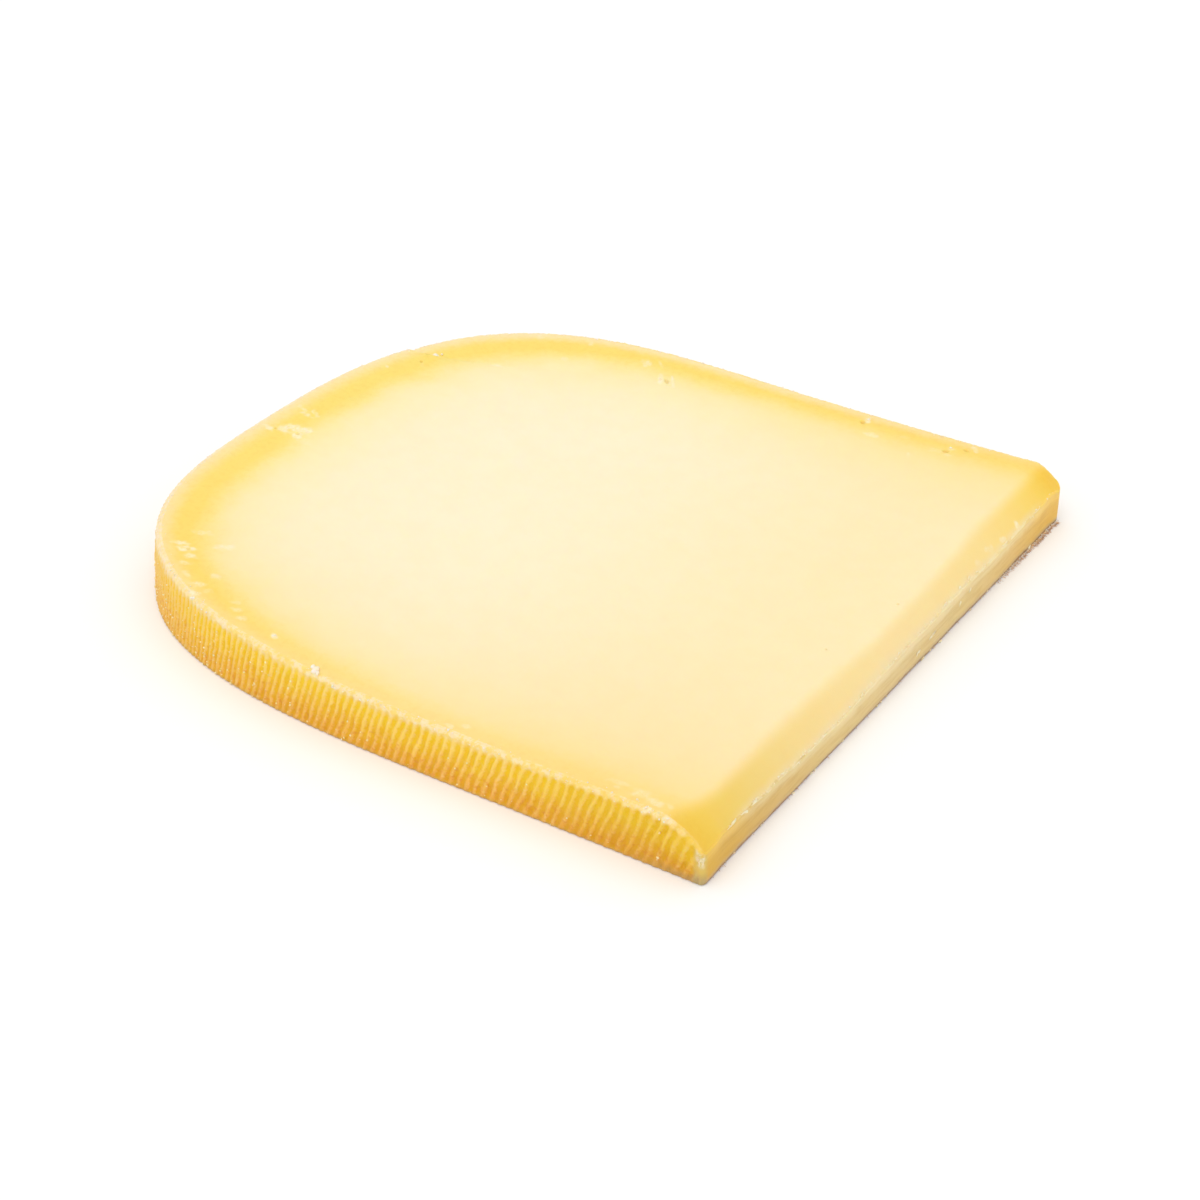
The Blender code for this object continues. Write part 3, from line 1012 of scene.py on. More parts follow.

# %% [markdown]
# ## The rubbed corner, torn patches and eyes
# The upright near corner is the thinnest and driest place, so handling has rubbed it pale,
# whitest above its middle.  Torn paste is whiter than cut paste because its rough surface
# scatters the light, and inside an eye the colour is darkened a little as painted shade.
# These come last, as they lie on top of everything else.

# %% Colour of the corner and the marks
corner_line = (END - 0.0006, -HALF * MM, 0.0)
flattened = vector_calc("MULTIPLY", place, (1.0, 1.0, 0.0))
from_corner = stretch(worn, 0.0020, vector_calc("DISTANCE", flattened, corner_line))
rubbed = times(remap(from_corner, 0.0014, 0.0006), remap(rise, 1.0, 0.85))
rubbed_colour = blend(remap(rise, 0.45, 0.15), colour(220, 192, 100), colour(186, 164, 110))
body = blend(times(rubbed, 0.8), body, rubbed_colour)
whitest = times(remap(rise, 0.44, 0.62), remap(rise, 1.0, 0.86),
                remap(from_corner, 0.0009, 0.0004), remap(knots, -0.45, 0.3))
torn_grain = stretch(patches(place, 1200.0, 0.36, 0.60, 4.0, 0.7), 0.6, 0.4)
torn_grain = times(remap(stored(tree, "torn"), 0.05, 0.95), torn_grain)
body = paint(body, (
    (whitest, 0.65, (246, 234, 206)),
    (torn_grain, 0.86, (254, 237, 203)),
    # painted shade: the hollow of each eye is darkened a little
    (stored(tree, "eye"), 0.35, (212, 190, 122))))
print(len(tree.nodes), "nodes with the corner and the marks")

# %% [markdown]
# ## How the surface takes the light
# Cheese is slightly waxy and lets light in for a millimetre or two, so its shadows are warm
# and soft, and subsurface light gives that.  Dry torn places are dull, the cut face has a
# soft sheen.  Only what is too fine for the mesh is left to bump: the pores of the paste,
# the faint lines of the wire and the knots on the rind.

# %% Surface of the slice
turned = node(tree, "ShaderNodeMapping", {"Vector": place, "Rotation": (0.0, 0.0, -0.35),
                                          "Scale": (0.12, 1.0, 1.0)})
wire_lines = grain(turned.outputs[0], 900.0)
fine = stretch(grain(place, 2600.0), 0.6, wire_lines)
bump = node(tree, "ShaderNodeBump", {"Height": fine, "Strength": 0.14, "Distance": 0.0002})
bump = node(tree, "ShaderNodeBump",
            {"Height": times(knots, skin), "Strength": 0.32, "Distance": 0.0003,
             "Normal": bump.outputs[0]})
dry = calc("MAXIMUM", flour, torn_grain)
plug(shader, {"Base Color": body, "Normal": bump.outputs[0],
              "Roughness": remap(dry, 0.0, 0.8, 0.42, 0.75),
              "Specular IOR Level": 0.35, "Subsurface Weight": 0.3,
              "Subsurface Radius": (1.0, 0.6, 0.22), "Subsurface Scale": 0.0018})
print(len(tree.nodes), "nodes in the material of the slice")

# %% [markdown]
# ## Shape trees
# Ridges, crumbs, burr and threads all repeat one idea with small differences.  A tree of
# geometry nodes holds the idea once, with named inputs for what differs.  Afterwards the
# result is kept as a plain mesh, so that nothing has to be worked out again in an export.

# %% Helpers for shape trees
def new_shape_tree(name, sockets):
    """A Geometry Nodes tree with named inputs, its input and output nodes."""
    tree = bpy.data.node_groups.new(name, "GeometryNodeTree")
    face = tree.interface
    face.new_socket("Geometry", in_out="INPUT", socket_type="NodeSocketGeometry")
    for label, kind in sockets:
        face.new_socket(label, in_out="INPUT", socket_type="NodeSocket" + kind)
    face.new_socket("Geometry", in_out="OUTPUT", socket_type="NodeSocketGeometry")
    return tree, tree.nodes.new("NodeGroupInput"), tree.nodes.new("NodeGroupOutput")


def read(tree, name, kind="FLOAT"):
    """A value, or a direction, that was stored on the points."""
    made = node(tree, "GeometryNodeInputNamedAttribute", {"Name": name}, data_type=kind)
    return made.outputs["Attribute"]


def keep_value(geometry, name, value):
    """Store a value on the points for the material."""
    made = node(tree_of(geometry), "GeometryNodeStoreNamedAttribute",
                {"Geometry": geometry, "Name": name, "Value": value},
                data_type="FLOAT", domain="POINT")
    return made.outputs[0]


def lumps(seed, scale, shift, detail=1.0):
    """Noise of -1 to 1 in space, moved on by the seed."""
    tree = tree_of(seed)
    where = node(tree, "GeometryNodeInputPosition").outputs[0]
    moved = node(tree, "ShaderNodeCombineXYZ", {0: calc("ADD", seed, shift)})
    at = vector_calc("ADD", vector_calc("SCALE", where, scale=scale), moved.outputs[0])
    made = node(tree, "ShaderNodeTexNoise", {"Vector": at, "Scale": 1.0, "Detail": detail})
    return stretch(made.outputs[0], 2.0, -1.0)


def move(geometry, offset):
    """Move every point by an offset."""
    inputs = {"Geometry": geometry, "Offset": offset}
    return node(tree_of(geometry), "GeometryNodeSetPosition", inputs).outputs[0]


def shake(geometry, seed, far, scale, shifts, detail=1.0):
    """Move every point about at random, at most by a distance."""
    parts = {i: lumps(seed, scale, shift, detail) for i, shift in enumerate(shifts)}
    way = node(tree_of(seed), "ShaderNodeCombineXYZ", parts).outputs[0]
    return move(geometry, vector_calc("SCALE", way, scale=far))


# %% Helpers that end a tree and run it
def finish_tree(geometry, start, end):
    """End a shape tree: real geometry above the table, smooth shading and its material."""
    tree = start.id_data
    real = node(tree, "GeometryNodeRealizeInstances", {"Geometry": geometry})
    at = node(tree, "GeometryNodeInputPosition").outputs[0]
    lifted = vector_calc("MAXIMUM", at, (-10.0, -10.0, 0.0))
    above = node(tree, "GeometryNodeSetPosition",
                 {"Geometry": real.outputs[0], "Position": lifted})
    soft = node(tree, "GeometryNodeSetShadeSmooth", {"Geometry": above.outputs[0]})
    done = node(tree, "GeometryNodeSetMaterial",
                {"Geometry": soft.outputs[0], "Material": start.outputs["Material"]})
    plug(end, {0: done.outputs[0]})
    print(tree.name, "is a tree of", len(tree.nodes), "nodes")


def grow(piece, tree, settings):
    """Run a shape tree on a piece and leave the result as its plain mesh."""
    modifier = piece.modifiers.new(tree.name, "NODES")
    modifier.node_group = tree
    for item in tree.interface.items_tree:
        if item.in_out == "INPUT" and item.name in settings:
            modifier[item.identifier] = settings[item.name]
    graph = bpy.context.evaluated_depsgraph_get()
    result = bpy.data.meshes.new_from_object(piece.evaluated_get(graph),
                                             preserve_all_data_layers=True, depsgraph=graph)
    piece.modifiers.clear()
    old = piece.data
    piece.data = result
    result.name = piece.name
    bpy.data.meshes.remove(old)
    print(piece.name, len(result.vertices), "points,",
          sum(len(p.vertices) - 2 for p in result.polygons), "triangles")


# %% [markdown]
# ## Pressing the ridges
# The press cloth leaves round crests and narrow grooves that wander and swell a little.  A
# tree of geometry nodes does it: it reads how many ridges lie behind each point, turns that
# into a crest and a groove, and moves the point along its stored outward direction.  Node
# inputs set the depth and the unevenness, so a smoother or a rougher rind is one number away.

# %% Tree that presses the ridges
press_tree, start, end = new_shape_tree("press_ridges", (
    ("Depth", "Float"), ("Wander", "Float"), ("Nodules", "Float"), ("Ragged", "Float"),
    ("Seed", "Float"), ("Material", "Material")))
tree, given = press_tree, start.outputs
seed = given["Seed"]
phase = stretch(lumps(seed, 260.0, 0.0), given["Wander"], read(tree, "phase"))
wave = calc("COSINE", times(phase, math.tau))
crest = calc("POWER", stretch(wave, 0.5, 0.5), 1.15)
swell = stretch(lumps(seed, 420.0, 7.0, 2.0), 0.9, 0.95)
pressed = times(calc("SUBTRACT", crest, 1.0), times(given["Depth"], swell))
# Crests are knotty, and both upper edges of the band are broken
beading = lumps(seed, 1100.0, 13.0, 2.0)
nodule = times(beading, crest, given["Nodules"])
ragged = times(lumps(seed, 1500.0, 21.0, 3.0), read(tree, "shoulder"), given["Ragged"])
ragged_end = times(lumps(seed, 1300.0, 33.0, 3.0), read(tree, "edge"), given["Ragged"])
lift = times(calc("ADD", pressed, nodule), read(tree, "relief"))
lift = calc("ADD", lift, calc("ADD", ragged, ragged_end))
offset = vector_calc("SCALE", read(tree, "outward", "FLOAT_VECTOR"), scale=lift)
moved = move(given["Geometry"], offset)
kept = keep_value(moved, "ridge", times(crest, stretch(beading, 0.35, 1.0)))
finish_tree(kept, start, end)

# %% [markdown]
# ## The finished slice
# The ridges of the wheel are about a third of a millimetre deep, and age has made their
# crests knotty.  Both are settings of the tree and not part of it, so they were found by
# trying, and this is the only place where the relief of the rind is decided.

# %% The finished slice
grow(cheese, press_tree, {"Depth": 0.00032, "Wander": 0.30, "Nodules": 0.00026,
                          "Ragged": 0.00020, "Seed": 4.0, "Material": slice_material})
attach(cheese, "root")
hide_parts(NODE)

# %% [markdown]
# ## What crumbs are made of
# Crumbs are the same cheese, but dry all through, so they are paler and duller than the face
# they lie on.  Those on the edge are nearly white, the specks on the rind have kept its
# yellow, and the flakes of the cut end lie between.  One function makes the three looks, each
# from a darker and a lighter shade.

# %% Materials for crumbs
def crumb_look(name, dark, light):
    """A dry, slightly see-through material in two shades."""
    material, tree, shader, place = new_material(name)
    patchy = patches(place, 700.0, 0.35, 0.65)
    plug(shader, {"Base Color": blend(patchy, colour(*dark), colour(*light)),
                  "Roughness": 0.6, "Specular IOR Level": 0.3,
                  "Subsurface Weight": 0.2, "Subsurface Scale": 0.0008})
    print(name, "in two shades")
    return material


crumb_material = crumb_look("cheese_crumb", (248, 228, 192), (250, 240, 228))
speck_material = crumb_look("rind_speck", (252, 222, 150), (255, 246, 208))
flake_material = crumb_look("edge_flake", (250, 226, 176), (252, 237, 206))

# %% [markdown]
# ## Making crumbs
# A wire drags crumbs out of the dry rind and leaves them along the edges.  Each crumb is a
# small lump with a shape of its own.  The tree puts one lump on every point, makes the copies
# real and then pushes them about with noise, so no two are alike.

# %% Tree that makes crumbs
def put_on_points(points, shape):
    """A real copy of a shape on every point, with the turn and the size stored there."""
    tree = tree_of(points)
    turn = node(tree, "FunctionNodeEulerToRotation", {0: read(tree, "turn", "FLOAT_VECTOR")})
    placed = node(tree, "GeometryNodeInstanceOnPoints",
                  {"Points": points, "Instance": shape, "Rotation": turn.outputs[0],
                   "Scale": read(tree, "size", "FLOAT_VECTOR")})
    real = node(tree, "GeometryNodeRealizeInstances", {"Geometry": placed.outputs[0]})
    return real.outputs[0]


crumb_tree, start, end = new_shape_tree("make_crumbs", (
    ("Detail", "Int"), ("Roughness", "Float"), ("Lumps", "Float"), ("Seed", "Float"),
    ("Material", "Material")))
tree, given = crumb_tree, start.outputs
ball = node(tree, "GeometryNodeMeshIcoSphere", {"Radius": 1.0, "Subdivisions": given["Detail"]})
real = put_on_points(given["Geometry"], ball.outputs["Mesh"])
where = node(tree, "GeometryNodeInputPosition").outputs[0]
at = vector_calc("ADD", vector_calc("SCALE", where, scale=given["Lumps"]),
                 node(tree, "ShaderNodeCombineXYZ", {0: given["Seed"]}).outputs[0])
rough = node(tree, "ShaderNodeTexNoise", {"Vector": at, "Scale": 1.0, "Detail": 1.0})
way = vector_calc("SUBTRACT", rough.outputs["Color"], (0.5, 0.5, 0.5))
way = vector_calc("SCALE", way, scale=given["Roughness"])
grown = vector_calc("MULTIPLY", way, read(tree, "spread", "FLOAT_VECTOR"))
finish_tree(move(real, grown), start, end)


def crumbs(name, points, sizes, turns, detail, seed, roughness=1.3, lump=5000.0,
           material=crumb_material):
    """A piece of crumbs, one on every point, with half sizes in mm and turns in radians."""
    piece = make_mesh(name, points, [])
    sizes = np.asarray(sizes) * MM
    give_values(piece, "size", sizes)
    give_values(piece, "spread", np.repeat(sizes.mean(axis=1)[:, None], 3, axis=1))
    give_values(piece, "turn", turns)
    grow(piece, crumb_tree, {"Detail": detail, "Roughness": roughness, "Lumps": lump,
                             "Seed": float(seed), "Material": material})
    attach(piece, "root")


# %% [markdown]
# ## Crumbs along the edge of the rind
# The wire leaves fine crumbs on the ragged edge all round the rind.  They could be painted on,
# but at this distance their small shadows are what makes the edge look dry.  Columns of the
# band are drawn at random and kept where a slow noise is high, so the crumbs gather in clumps.

# %% Crumbs along the edge of the rind
RIM_CRUMBS = 1000               # drawn, and somewhat under half of them kept
CRUMB_SIZE, CRUMB_SPREAD = 0.075, 0.38
SMALLEST_CRUMB = 0.04
CLUMP = 7.0                     # mm along the rind
CLEAN_END, CLEAN_UNTIL = 2.0, 14.0


def edge_places(column, inset):
    """Points on the upper edge of the rind, moved in from the outermost line."""
    edge = shoulder[column]
    over = np.clip(1 - inset / edge, 0.0, 1.0)
    x = band[-1, column, 0] - outward[column, 0] * (inset - edge)
    y = band[-1, column, 1] - outward[column, 1] * (inset - edge)
    under_x = np.where(over > 0, band[-1, column, 0], x)
    under_y = np.where(over > 0, band[-1, column, 1], y)
    drop = edge * (1 - np.sqrt(1 - over ** 2))
    return np.column_stack([x, y, top_height(under_x, under_y) - drop])


def rim_crumbs():
    """Fine crumbs caught on the ragged edge between the rind and the upper face."""
    rng = np.random.default_rng(21)
    column = rng.integers(2, len(rind_s) - 2, RIM_CRUMBS)
    ground = np.column_stack([rind_s[column], np.zeros((RIM_CRUMBS, 2))])
    clump = soft_noise(ground, CLUMP, 8)
    column = column[rng.uniform(-0.7, 0.8, RIM_CRUMBS) < clump]
    count = len(column)
    inset = np.clip(rng.normal(0.45, 0.40, count), 0.03, 2.2)
    # The edge is cleaner where it runs down to the thin end
    size = rng.lognormal(math.log(CRUMB_SIZE), CRUMB_SPREAD, count)
    size = size * smooth(CLEAN_END, CLEAN_UNTIL, rind_u[column])
    large = size > SMALLEST_CRUMB
    inset, column, size = inset[large], column[large], size[large][:, None]
    count = len(column)
    size = size * rng.uniform(0.6, 1.35, (count, 3))
    return edge_places(column, inset), size, rng.uniform(0, math.tau, (count, 3))


crumbs("rim_crumbs", *rim_crumbs(), detail=1, seed=3)


# %% [markdown]
# ## Specks on the rind
# Dry specks cling to the crests, most of them low down and towards the rim.  They are grown
# with the same crumb tree.  The places come from the band itself: a point is kept when it
# lies on a crest, and the lower it lies the likelier it is kept.

# %% Specks on the crests of the rind
SPECKS = 6600                   # drawn, and about one in eight kept
SPECK_SIZE, SPECK_SPREAD = 0.10, 0.38
LARGEST_SPECK = 0.19


def rind_specks():
    """Dry specks that sit on the crests, most of them low on the rim side."""
    rng = np.random.default_rng(22)
    column = rng.integers(8, len(rind_s) - 8, SPECKS)
    row = rng.integers(FOOT_ROWS, FOOT_ROWS + WALL_ROWS - 2, SPECKS)
    crest = 0.5 + 0.5 * np.cos(band_phase[row, column] * math.tau)
    low_down = 1 - (row - FOOT_ROWS) / WALL_ROWS
    middle = 1 - np.abs(2 * column / len(rind_s) - 1)
    liked = (0.12 + 0.88 * smooth(0.24, 0.55, middle)) * (0.15 + low_down ** 1.2)
    keep = (crest > 0.55) & (rng.uniform(0.0, 1.6, SPECKS) < liked)
    column, row = column[keep], row[keep]
    count = len(column)
    size = rng.lognormal(math.log(SPECK_SIZE), SPECK_SPREAD, count)
    size = np.minimum(size, LARGEST_SPECK)[:, None] * rng.uniform(0.6, 1.3, (count, 3))
    return band[row, column], size, rng.uniform(0, math.tau, (count, 3))


crumbs("rind_specks", *rind_specks(), detail=1, seed=5, material=speck_material)


# %% [markdown]
# ## Flakes on the cut end
# The pressed edge has split into thin pale flakes, and small ones stick to the foot and to
# the worn upright corner.  The large ones have places of their own in a short table, because
# a viewer knows them one by one, and the fine ones between them are drawn at random.

# %% Flakes on the cut end
# share of the width, height as a share of the end's edge, half sizes in mm, turn in degrees
END_FLAKES = (
    (0.072, 1.00, 0.12, 0.75, 0.22, 12), (0.098, 0.97, 0.10, 0.60, 0.20, 5),
    (0.122, 1.00, 0.10, 0.70, 0.20, -8), (0.29, 1.00, 0.10, 0.45, 0.16, 0),
    (0.38, 0.98, 0.10, 0.50, 0.16, 15), (0.485, 1.00, 0.10, 0.40, 0.14, 0),
    (0.59, 0.55, 0.10, 1.30, 0.16, 12), (0.63, 1.04, 0.12, 0.55, 0.24, 20),
    (0.672, 0.60, 0.10, 0.50, 0.20, 60), (0.70, 0.72, 0.10, 0.42, 0.22, 35),
    (0.675, 1.05, 0.12, 0.40, 0.20, 10), (0.70, 1.05, 0.12, 0.52, 0.26, 25),
    (0.725, 1.04, 0.10, 0.38, 0.18, 0), (0.815, 1.02, 0.12, 0.55, 0.28, 40),
    (0.27, 0.05, 0.14, 0.22, 0.16, 0),
    (0.445, 0.05, 0.12, 0.25, 0.12, 0), (0.55, 0.45, 0.08, 1.10, 0.12, 10),
)
FINE_FLAKES = 150
EDGE_OR_FOOT = (1.0, 0.04)      # the two heights at which fine flakes gather
EDGE_ODDS = (0.72, 0.28)
CORNER_FLAKES = 10
BURIED = 0.05                   # how far these sit in the corner
end_start = len(rind_s) + CORNER_COLUMNS
end_stop = end_start + end_count


def end_line(row):
    """Points of one row of the band along the cut end, ordered by y, and their columns."""
    order = end_start + np.argsort(band[row, end_start:end_stop, 1])
    return band[row, order], order


def end_place(across, up):
    """A place on the cut end from a share of the width and of the edge's height."""
    y = -HALF + across * 2 * HALF
    line, order = end_line(-1)
    edge = np.interp(y, line[:, 1], top_z[order])
    x = np.interp(y, base_y[order], base_x[order])
    over = max(up - 0.95, 0.0)
    if over > 0:
        x = x - over * 4.5
        return x, y, float(top_height(np.array([x]), np.array([y]))[0])
    return x, y, up * edge


def end_flakes():
    """Thin torn flakes along the pressed edge, and fine ones scattered between them."""
    rng = np.random.default_rng(23)
    points, sizes, turns = [], [], []
    for across, up, thick, long, wide, turn in END_FLAKES:
        points.append(end_place(across, up))
        sizes.append((thick, long, wide))
        turns.append((math.radians(turn), rng.uniform(-0.3, 0.3), rng.uniform(-0.2, 0.2)))
    for _ in range(FINE_FLAKES):
        across = rng.uniform(0.06, 0.985)
        up = rng.choice(EDGE_OR_FOOT, p=EDGE_ODDS) + rng.normal(0, 0.02)
        points.append(end_place(across, up))
        size = rng.lognormal(math.log(0.09), 0.4)
        sizes.append((size * 0.7, size * rng.uniform(1.0, 2.6), size))
        turns.append(rng.uniform(-0.5, 0.5, 3))
    # Smeared flakes overlap on the worn upright corner
    for _ in range(CORNER_FLAKES):
        height = 2.9 + 2.9 * rng.beta(1.4, 1.4)
        column = end_stop + rng.integers(CORNER_COLUMNS // 2, CORNER_COLUMNS)
        points.append((base_x[column] - BURIED * outward[column, 0],
                       base_y[column] - BURIED * outward[column, 1], height))
        size = rng.lognormal(math.log(0.11), 0.3)
        sizes.append((size * 0.5, size * 0.9, size * rng.uniform(1.4, 3.0)))
        turns.append((rng.uniform(-0.4, 0.4), rng.uniform(-0.2, 0.2), math.radians(-45)))
    return np.array(points), np.array(sizes), np.array(turns)


crumbs("end_flakes", *end_flakes(), detail=2, seed=6, roughness=1.2, lump=3000.0,
       material=flake_material)


# %% [markdown]
# ## Loose crumbs
# A few crumbs are large enough to be seen one by one, the largest of them a millimetre wide
# on the near edge.  They get more faces than the fine ones, a softer shape and set places.

# %% Loose crumbs
# share of the length, share of the width, half size in mm
LOOSE = ((0.446, 0.014, 0.60), (0.439, 0.018, 0.34), (0.452, 0.010, 0.30),
         (0.094, 0.771, 0.42), (0.099, 0.780, 0.26), (0.360, 0.043, 0.24),
         (0.399, 0.912, 0.20), (0.707, 0.979, 0.20), (0.841, 0.968, 0.20),
         (0.905, 0.012, 0.18), (0.921, 0.004, 0.20), (0.950, 0.004, 0.16))
LOOSE_SQUASH = (1.25, 0.95, 0.62)
LOOSE_LIFT = 0.1                # share of its half size that a crumb stands above the face


def loose_crumbs():
    """Crumbs large enough to be seen one by one, lying where the paste tore."""
    rng = np.random.default_rng(24)
    places = np.array([spot(along, across) for along, across, _size in LOOSE])
    size = np.array([size for _along, _across, size in LOOSE])
    z = top_height(places[:, 0], places[:, 1]) + size * LOOSE_LIFT
    sizes = size[:, None] * np.array(LOOSE_SQUASH) * rng.uniform(0.85, 1.15, (len(size), 3))
    turns = np.column_stack([rng.uniform(-0.3, 0.3, (len(size), 2)),
                             rng.uniform(0, math.tau, len(size))])
    return np.column_stack([places, z]), sizes, turns


crumbs("loose_crumbs", *loose_crumbs(), detail=3, seed=9, roughness=0.45, lump=1300.0)

# %% [markdown]
# ## A tree for the burr
# Where the upper face was pressed down, a thin whitish lip of paste curls over the edge in
# short lengths.  A lip follows a path, so geometry nodes sweep a small loop along that path
# and let noise change its thickness and its place.

# %% Tree that sweeps the burr
burr_tree, start, end = new_shape_tree("sweep_burr", (
    ("Wobble", "Float"), ("Seed", "Float"), ("Material", "Material")))
tree, given = burr_tree, start.outputs
path = node(tree, "GeometryNodeMeshToCurve", {"Mesh": given["Geometry"]})
uneven = stretch(lumps(given["Seed"], 900.0, 3.0, 3.0), 0.5, 1.0)
loop = node(tree, "GeometryNodeCurvePrimitiveCircle", {"Resolution": 7, "Radius": 1.0})
swept = node(tree, "GeometryNodeCurveToMesh",
             {"Curve": path.outputs[0], "Profile Curve": loop.outputs[0],
              "Scale": times(read(tree, "thick"), uneven), "Fill Caps": True})
shaken = shake(swept.outputs[0], given["Seed"], given["Wobble"], 1500.0, (5.0, 9.0, 15.0), 2.0)
finish_tree(shaken, start, end)

# %% [markdown]
# ## The burr along the cut end
# The lip shows in nine short lengths, because the knife tore it off between them.  Each
# length follows the shoulder of the cut end, just inside its upper edge, and gets thinner
# towards both of its ends.

# %% The burr
# share of the width where each length starts and stops, thickness in mm
BURRS = ((0.055, 0.078, 0.08), (0.088, 0.104, 0.10), (0.112, 0.127, 0.10),
         (0.215, 0.232, 0.06), (0.252, 0.270, 0.08), (0.284, 0.302, 0.08),
         (0.366, 0.388, 0.08), (0.545, 0.556, 0.05), (0.905, 0.925, 0.05))
BURR_STEP = 0.12
BURR_ROW = -3                   # the row of the band that it follows
BURR_LIFT = 0.02


def burr_lines():
    """Short lengths of the pressed edge, thickest in their middles."""
    edge, _order = end_line(BURR_ROW)
    points, links, thick = [], [], []
    for first, last, size in BURRS:
        y = np.arange(first, last, BURR_STEP / (2 * HALF)) * 2 * HALF - HALF
        share = np.linspace(0.0, 1.0, len(y))
        begin = len(points)
        x = np.interp(y, edge[:, 1], edge[:, 0])
        z = np.interp(y, edge[:, 1], edge[:, 2]) + BURR_LIFT
        points += list(np.column_stack([x, y, z]))
        links += [(begin + i, begin + i + 1) for i in range(len(y) - 1)]
        thick += list(size * (0.25 + 0.75 * np.sin(share * math.pi)))
    return points, links, thick


burr_points, burr_links, burr_thick = burr_lines()
burr = make_mesh("end_burr", burr_points, [], burr_links)
give_values(burr, "thick", np.array(burr_thick) * MM)
grow(burr, burr_tree, {"Wobble": 0.00007, "Seed": 2.0, "Material": flake_material})
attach(burr, "root")

# %% [markdown]
# ## Making torn threads
# At the foot of the cut end the paste has torn into short threads, pale where they are rooted
# and brown at their tips, and the brown tips also stand in as painted shadow for the thin dark
# line beyond the foot.  Hair would not survive an export, so each thread is a small cone.
# The tree lays a cone on every point, makes them real and bends each one with noise, and the
# height on the cone is stored first, so that the material knows where the tip is.

# %% Material and tree for the threads
thread_and_shadow_material, tree, shader, place = new_material("torn_thread_and_shadow")
patchy = grain(place, 1300.0)
root = blend(remap(patchy, 0.36, 0.5), colour(244, 206, 150), colour(255, 248, 236))
# the brown tips are partly torn paste and partly painted shadow, the thin dark line beyond the
# foot
brown_tips_and_painted_shadow = remap(stretch(patchy, 0.8, stored(tree, "tip")), 0.75, 1.1)
plug(shader, {"Base Color": paint(root, ((brown_tips_and_painted_shadow, 1.0, (204, 156, 116)),)), "Roughness": 0.5})

bristle_tree, start, end = new_shape_tree("make_bristles", (
    ("Curl", "Float"), ("Seed", "Float"), ("Material", "Material")))
tree, given = bristle_tree, start.outputs
thorn = node(tree, "GeometryNodeMeshCone",
             {"Vertices": 5, "Side Segments": 5, "Radius Top": 0.25, "Radius Bottom": 1.0,
              "Depth": 1.0}, fill_type="TRIANGLE_FAN")
place_on_cone = node(tree, "ShaderNodeSeparateXYZ",
                     {0: node(tree, "GeometryNodeInputPosition").outputs[0]})
tipped = keep_value(thorn.outputs["Mesh"], "tip", place_on_cone.outputs[2])
real = put_on_points(given["Geometry"], tipped)
shaken = shake(real, given["Seed"], given["Curl"], 1100.0, (2.0, 8.0, 14.0))
finish_tree(shaken, start, end)


# %% [markdown]
# ## Bristles at the foot
# Towards the far corner the threads stand side by side as a short fringe, and elsewhere only
# a few stray ones are left.  A beta distribution fills the fringe densely in its middle and
# thinly at its ends, which a plain even draw would not do.

# %% Bristles at the foot of the cut end
FRINGE_COUNT, STRAY_COUNT = 330, 40
FRINGE_START, FRINGE_WIDTH = 0.79, 0.20
STRAY_LENGTH = 0.5              # stray threads are this much shorter
LOWEST, HIGHEST = 0.07, 0.5     # mm above the table


def bristle_places():
    """Short torn threads at the foot, thick towards the far corner and rare elsewhere."""
    rng = np.random.default_rng(25)
    fringe = FRINGE_START + FRINGE_WIDTH * rng.beta(1.6, 1.2, FRINGE_COUNT)
    across = np.concatenate([fringe, rng.uniform(0.02, 0.99, STRAY_COUNT)])
    count = len(across)
    x, y, _z = np.array([end_place(share, 0.2) for share in across]).T
    z = np.clip(rng.gamma(2.0, 0.06, count) + LOWEST, LOWEST, HIGHEST)
    points = np.column_stack([x - 0.05, y, z])
    long = rng.uniform(0.5, 0.95, count)
    long[FRINGE_COUNT:] *= STRAY_LENGTH
    thin = rng.uniform(0.035, 0.07, count)
    # The cones point up, so a quarter turn lays them outwards
    turns = np.column_stack([rng.normal(0.0, 0.35, count),
                             math.pi / 2 + rng.normal(0.04, 0.14, count),
                             rng.normal(0.0, 0.45, count)])
    return points, np.column_stack([thin, thin, long]), turns


bristle_points, bristle_sizes, bristle_turns = bristle_places()
bristles = make_mesh("foot_bristles", bristle_points, [])
give_values(bristles, "size", bristle_sizes * MM)
give_values(bristles, "turn", bristle_turns)
grow(bristles, bristle_tree, {"Curl": 0.00012, "Seed": 7.0, "Material": thread_and_shadow_material})
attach(bristles, "root")


# %% [markdown]
# ## The table
# The slice lies on a plain white table.  Far behind it the table sweeps up into a low wall,
# as a paper roll does in a studio, so that no hard line shows in low views.  A flat plane
# would be simpler, but its edge would cut through every view from near the table.

# %% Floor
FLOOR_FLAT = 3000.0             # the floor is flat to this distance from the middle
FLOOR_END = 4800.0
WALL_HEIGHT = 1000.0
FLOOR_SIDES = 96
FLOOR_RINGS = 19
WALL_FROM, WALL_TO = 3.1, 4.6   # metres over which the wall turns grey

floor_material, tree, shader, place = new_material("white_table")
white = blend(patches(place, 3.0, 0.3, 0.7), (0.96, 0.96, 0.96, 1.0), (0.98, 0.98, 0.98, 1.0))
on_wall = remap(vector_calc("LENGTH", place), WALL_FROM, WALL_TO)
plug(shader, {"Base Color": blend(on_wall, white, (0.70, 0.70, 0.70, 1.0)),
              "Roughness": 0.9, "Specular IOR Level": 0.1})


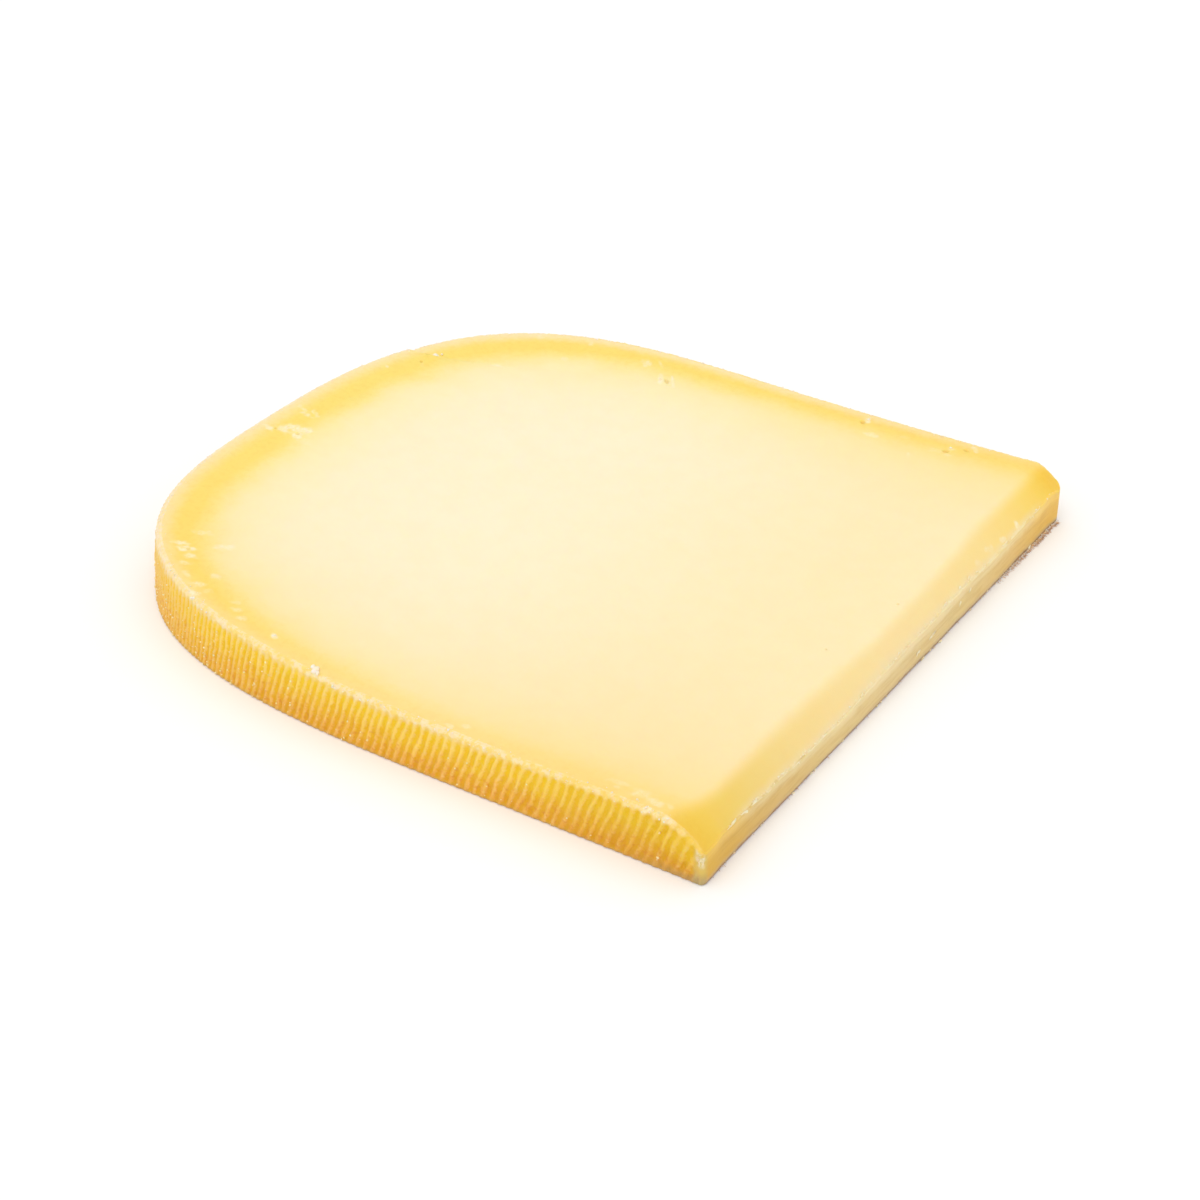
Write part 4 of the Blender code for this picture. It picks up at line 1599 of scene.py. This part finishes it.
def swept_floor():
    """A flat disc that curves up all round into a low wall."""
    points, faces = [], [list(range(FLOOR_SIDES))]
    for ring, away in enumerate(np.linspace(FLOOR_FLAT, FLOOR_END, FLOOR_RINGS)):
        height = WALL_HEIGHT * ((away - FLOOR_FLAT) / (FLOOR_END - FLOOR_FLAT)) ** 2
        for i in range(FLOOR_SIDES):
            angle = math.tau * i / FLOOR_SIDES
            points.append((away * math.cos(angle), away * math.sin(angle), height))
            if ring:
                j = (i + 1) % FLOOR_SIDES
                inner, outer = (ring - 1) * FLOOR_SIDES, ring * FLOOR_SIDES
                faces.append((inner + i, outer + i, outer + j, inner + j))
    return points, faces


floor = make_mesh("floor", *swept_floor())
floor.data.materials.append(floor_material)
floor.data.shade_smooth()
print("table of", len(floor.data.polygons), "faces")

# %% [markdown]
# ## Light
# Pale food looks best in soft light.  A bright surround does most of the work, a little
# brighter above than at the sides, and one broad lamp high over the near side gives the
# ridges their shape.  A small hard lamp would show the ridges more sharply, and would make
# the paste look like plastic.

# %% Light
SKY_LEVEL = 0.68
SKY_LEAN = (-0.06, -0.06, 0.30)  # how the surround brightens along X, Y and upwards
KEY_POWER = 0.70
KEY_BREADTH = math.radians(50)
KEY_COLOUR = (1.0, 0.99, 0.97)
KEY_WAY = Vector((-0.10, 0.35, -0.92))  # the way the light travels


def add_to_scene(name, data, way):
    """An object for a lamp or a camera that looks along a direction."""
    made = bpy.data.objects.new(name, data)
    made.rotation_mode = "QUATERNION"
    made.rotation_quaternion = way.to_track_quat("-Z", "Y")
    bpy.context.scene.collection.objects.link(made)
    return made


world = bpy.data.worlds.new("studio")
bpy.context.scene.world = world
world.use_nodes = True
tree = world.node_tree
way = node(tree, "ShaderNodeTexCoord").outputs["Generated"]
glow = calc("ADD", vector_calc("DOT_PRODUCT", way, SKY_LEAN), SKY_LEVEL)
plug(tree.nodes["Background"], {0: (1.0, 1.0, 1.0, 1.0), 1: glow})
bpy.context.scene.view_settings.view_transform = "Standard"

key_data = bpy.data.lights.new("key", "SUN")
key_data.energy = KEY_POWER
key_data.angle = KEY_BREADTH
key_data.color = KEY_COLOUR
add_to_scene("key", key_data, KEY_WAY)
print("surround", SKY_LEVEL, "and key light", KEY_POWER)

# %% [markdown]
# ## Camera
# The slice is seen from above its near corner, so that the face, the ridged rind and the cut
# end all show.  A fairly long lens at arm's length makes the far corner only a little smaller
# than the near one, as it looks to somebody who sits at the table.

# %% Camera
CAMERA_TURN = math.radians(32.91)
CAMERA_RISE = math.radians(32.54)
CAMERA_AWAY = 0.38395
CAMERA_RIGHT = 0.00492
CAMERA_UP = -0.00483
back = Vector((math.sin(CAMERA_TURN) * math.cos(CAMERA_RISE),
               -math.cos(CAMERA_TURN) * math.cos(CAMERA_RISE), math.sin(CAMERA_RISE)))
right = Vector((math.cos(CAMERA_TURN), math.sin(CAMERA_TURN), 0.0))
camera_data = bpy.data.cameras.new("camera")
camera_data.lens = 75.0
camera_data.sensor_width = 36.0
camera_data.clip_start = 0.01
camera = add_to_scene("camera", camera_data, -back)
camera.location = back * CAMERA_AWAY + right * CAMERA_RIGHT + back.cross(right) * CAMERA_UP
bpy.context.scene.camera = camera
print("camera", round(CAMERA_AWAY / MM), "mm away")
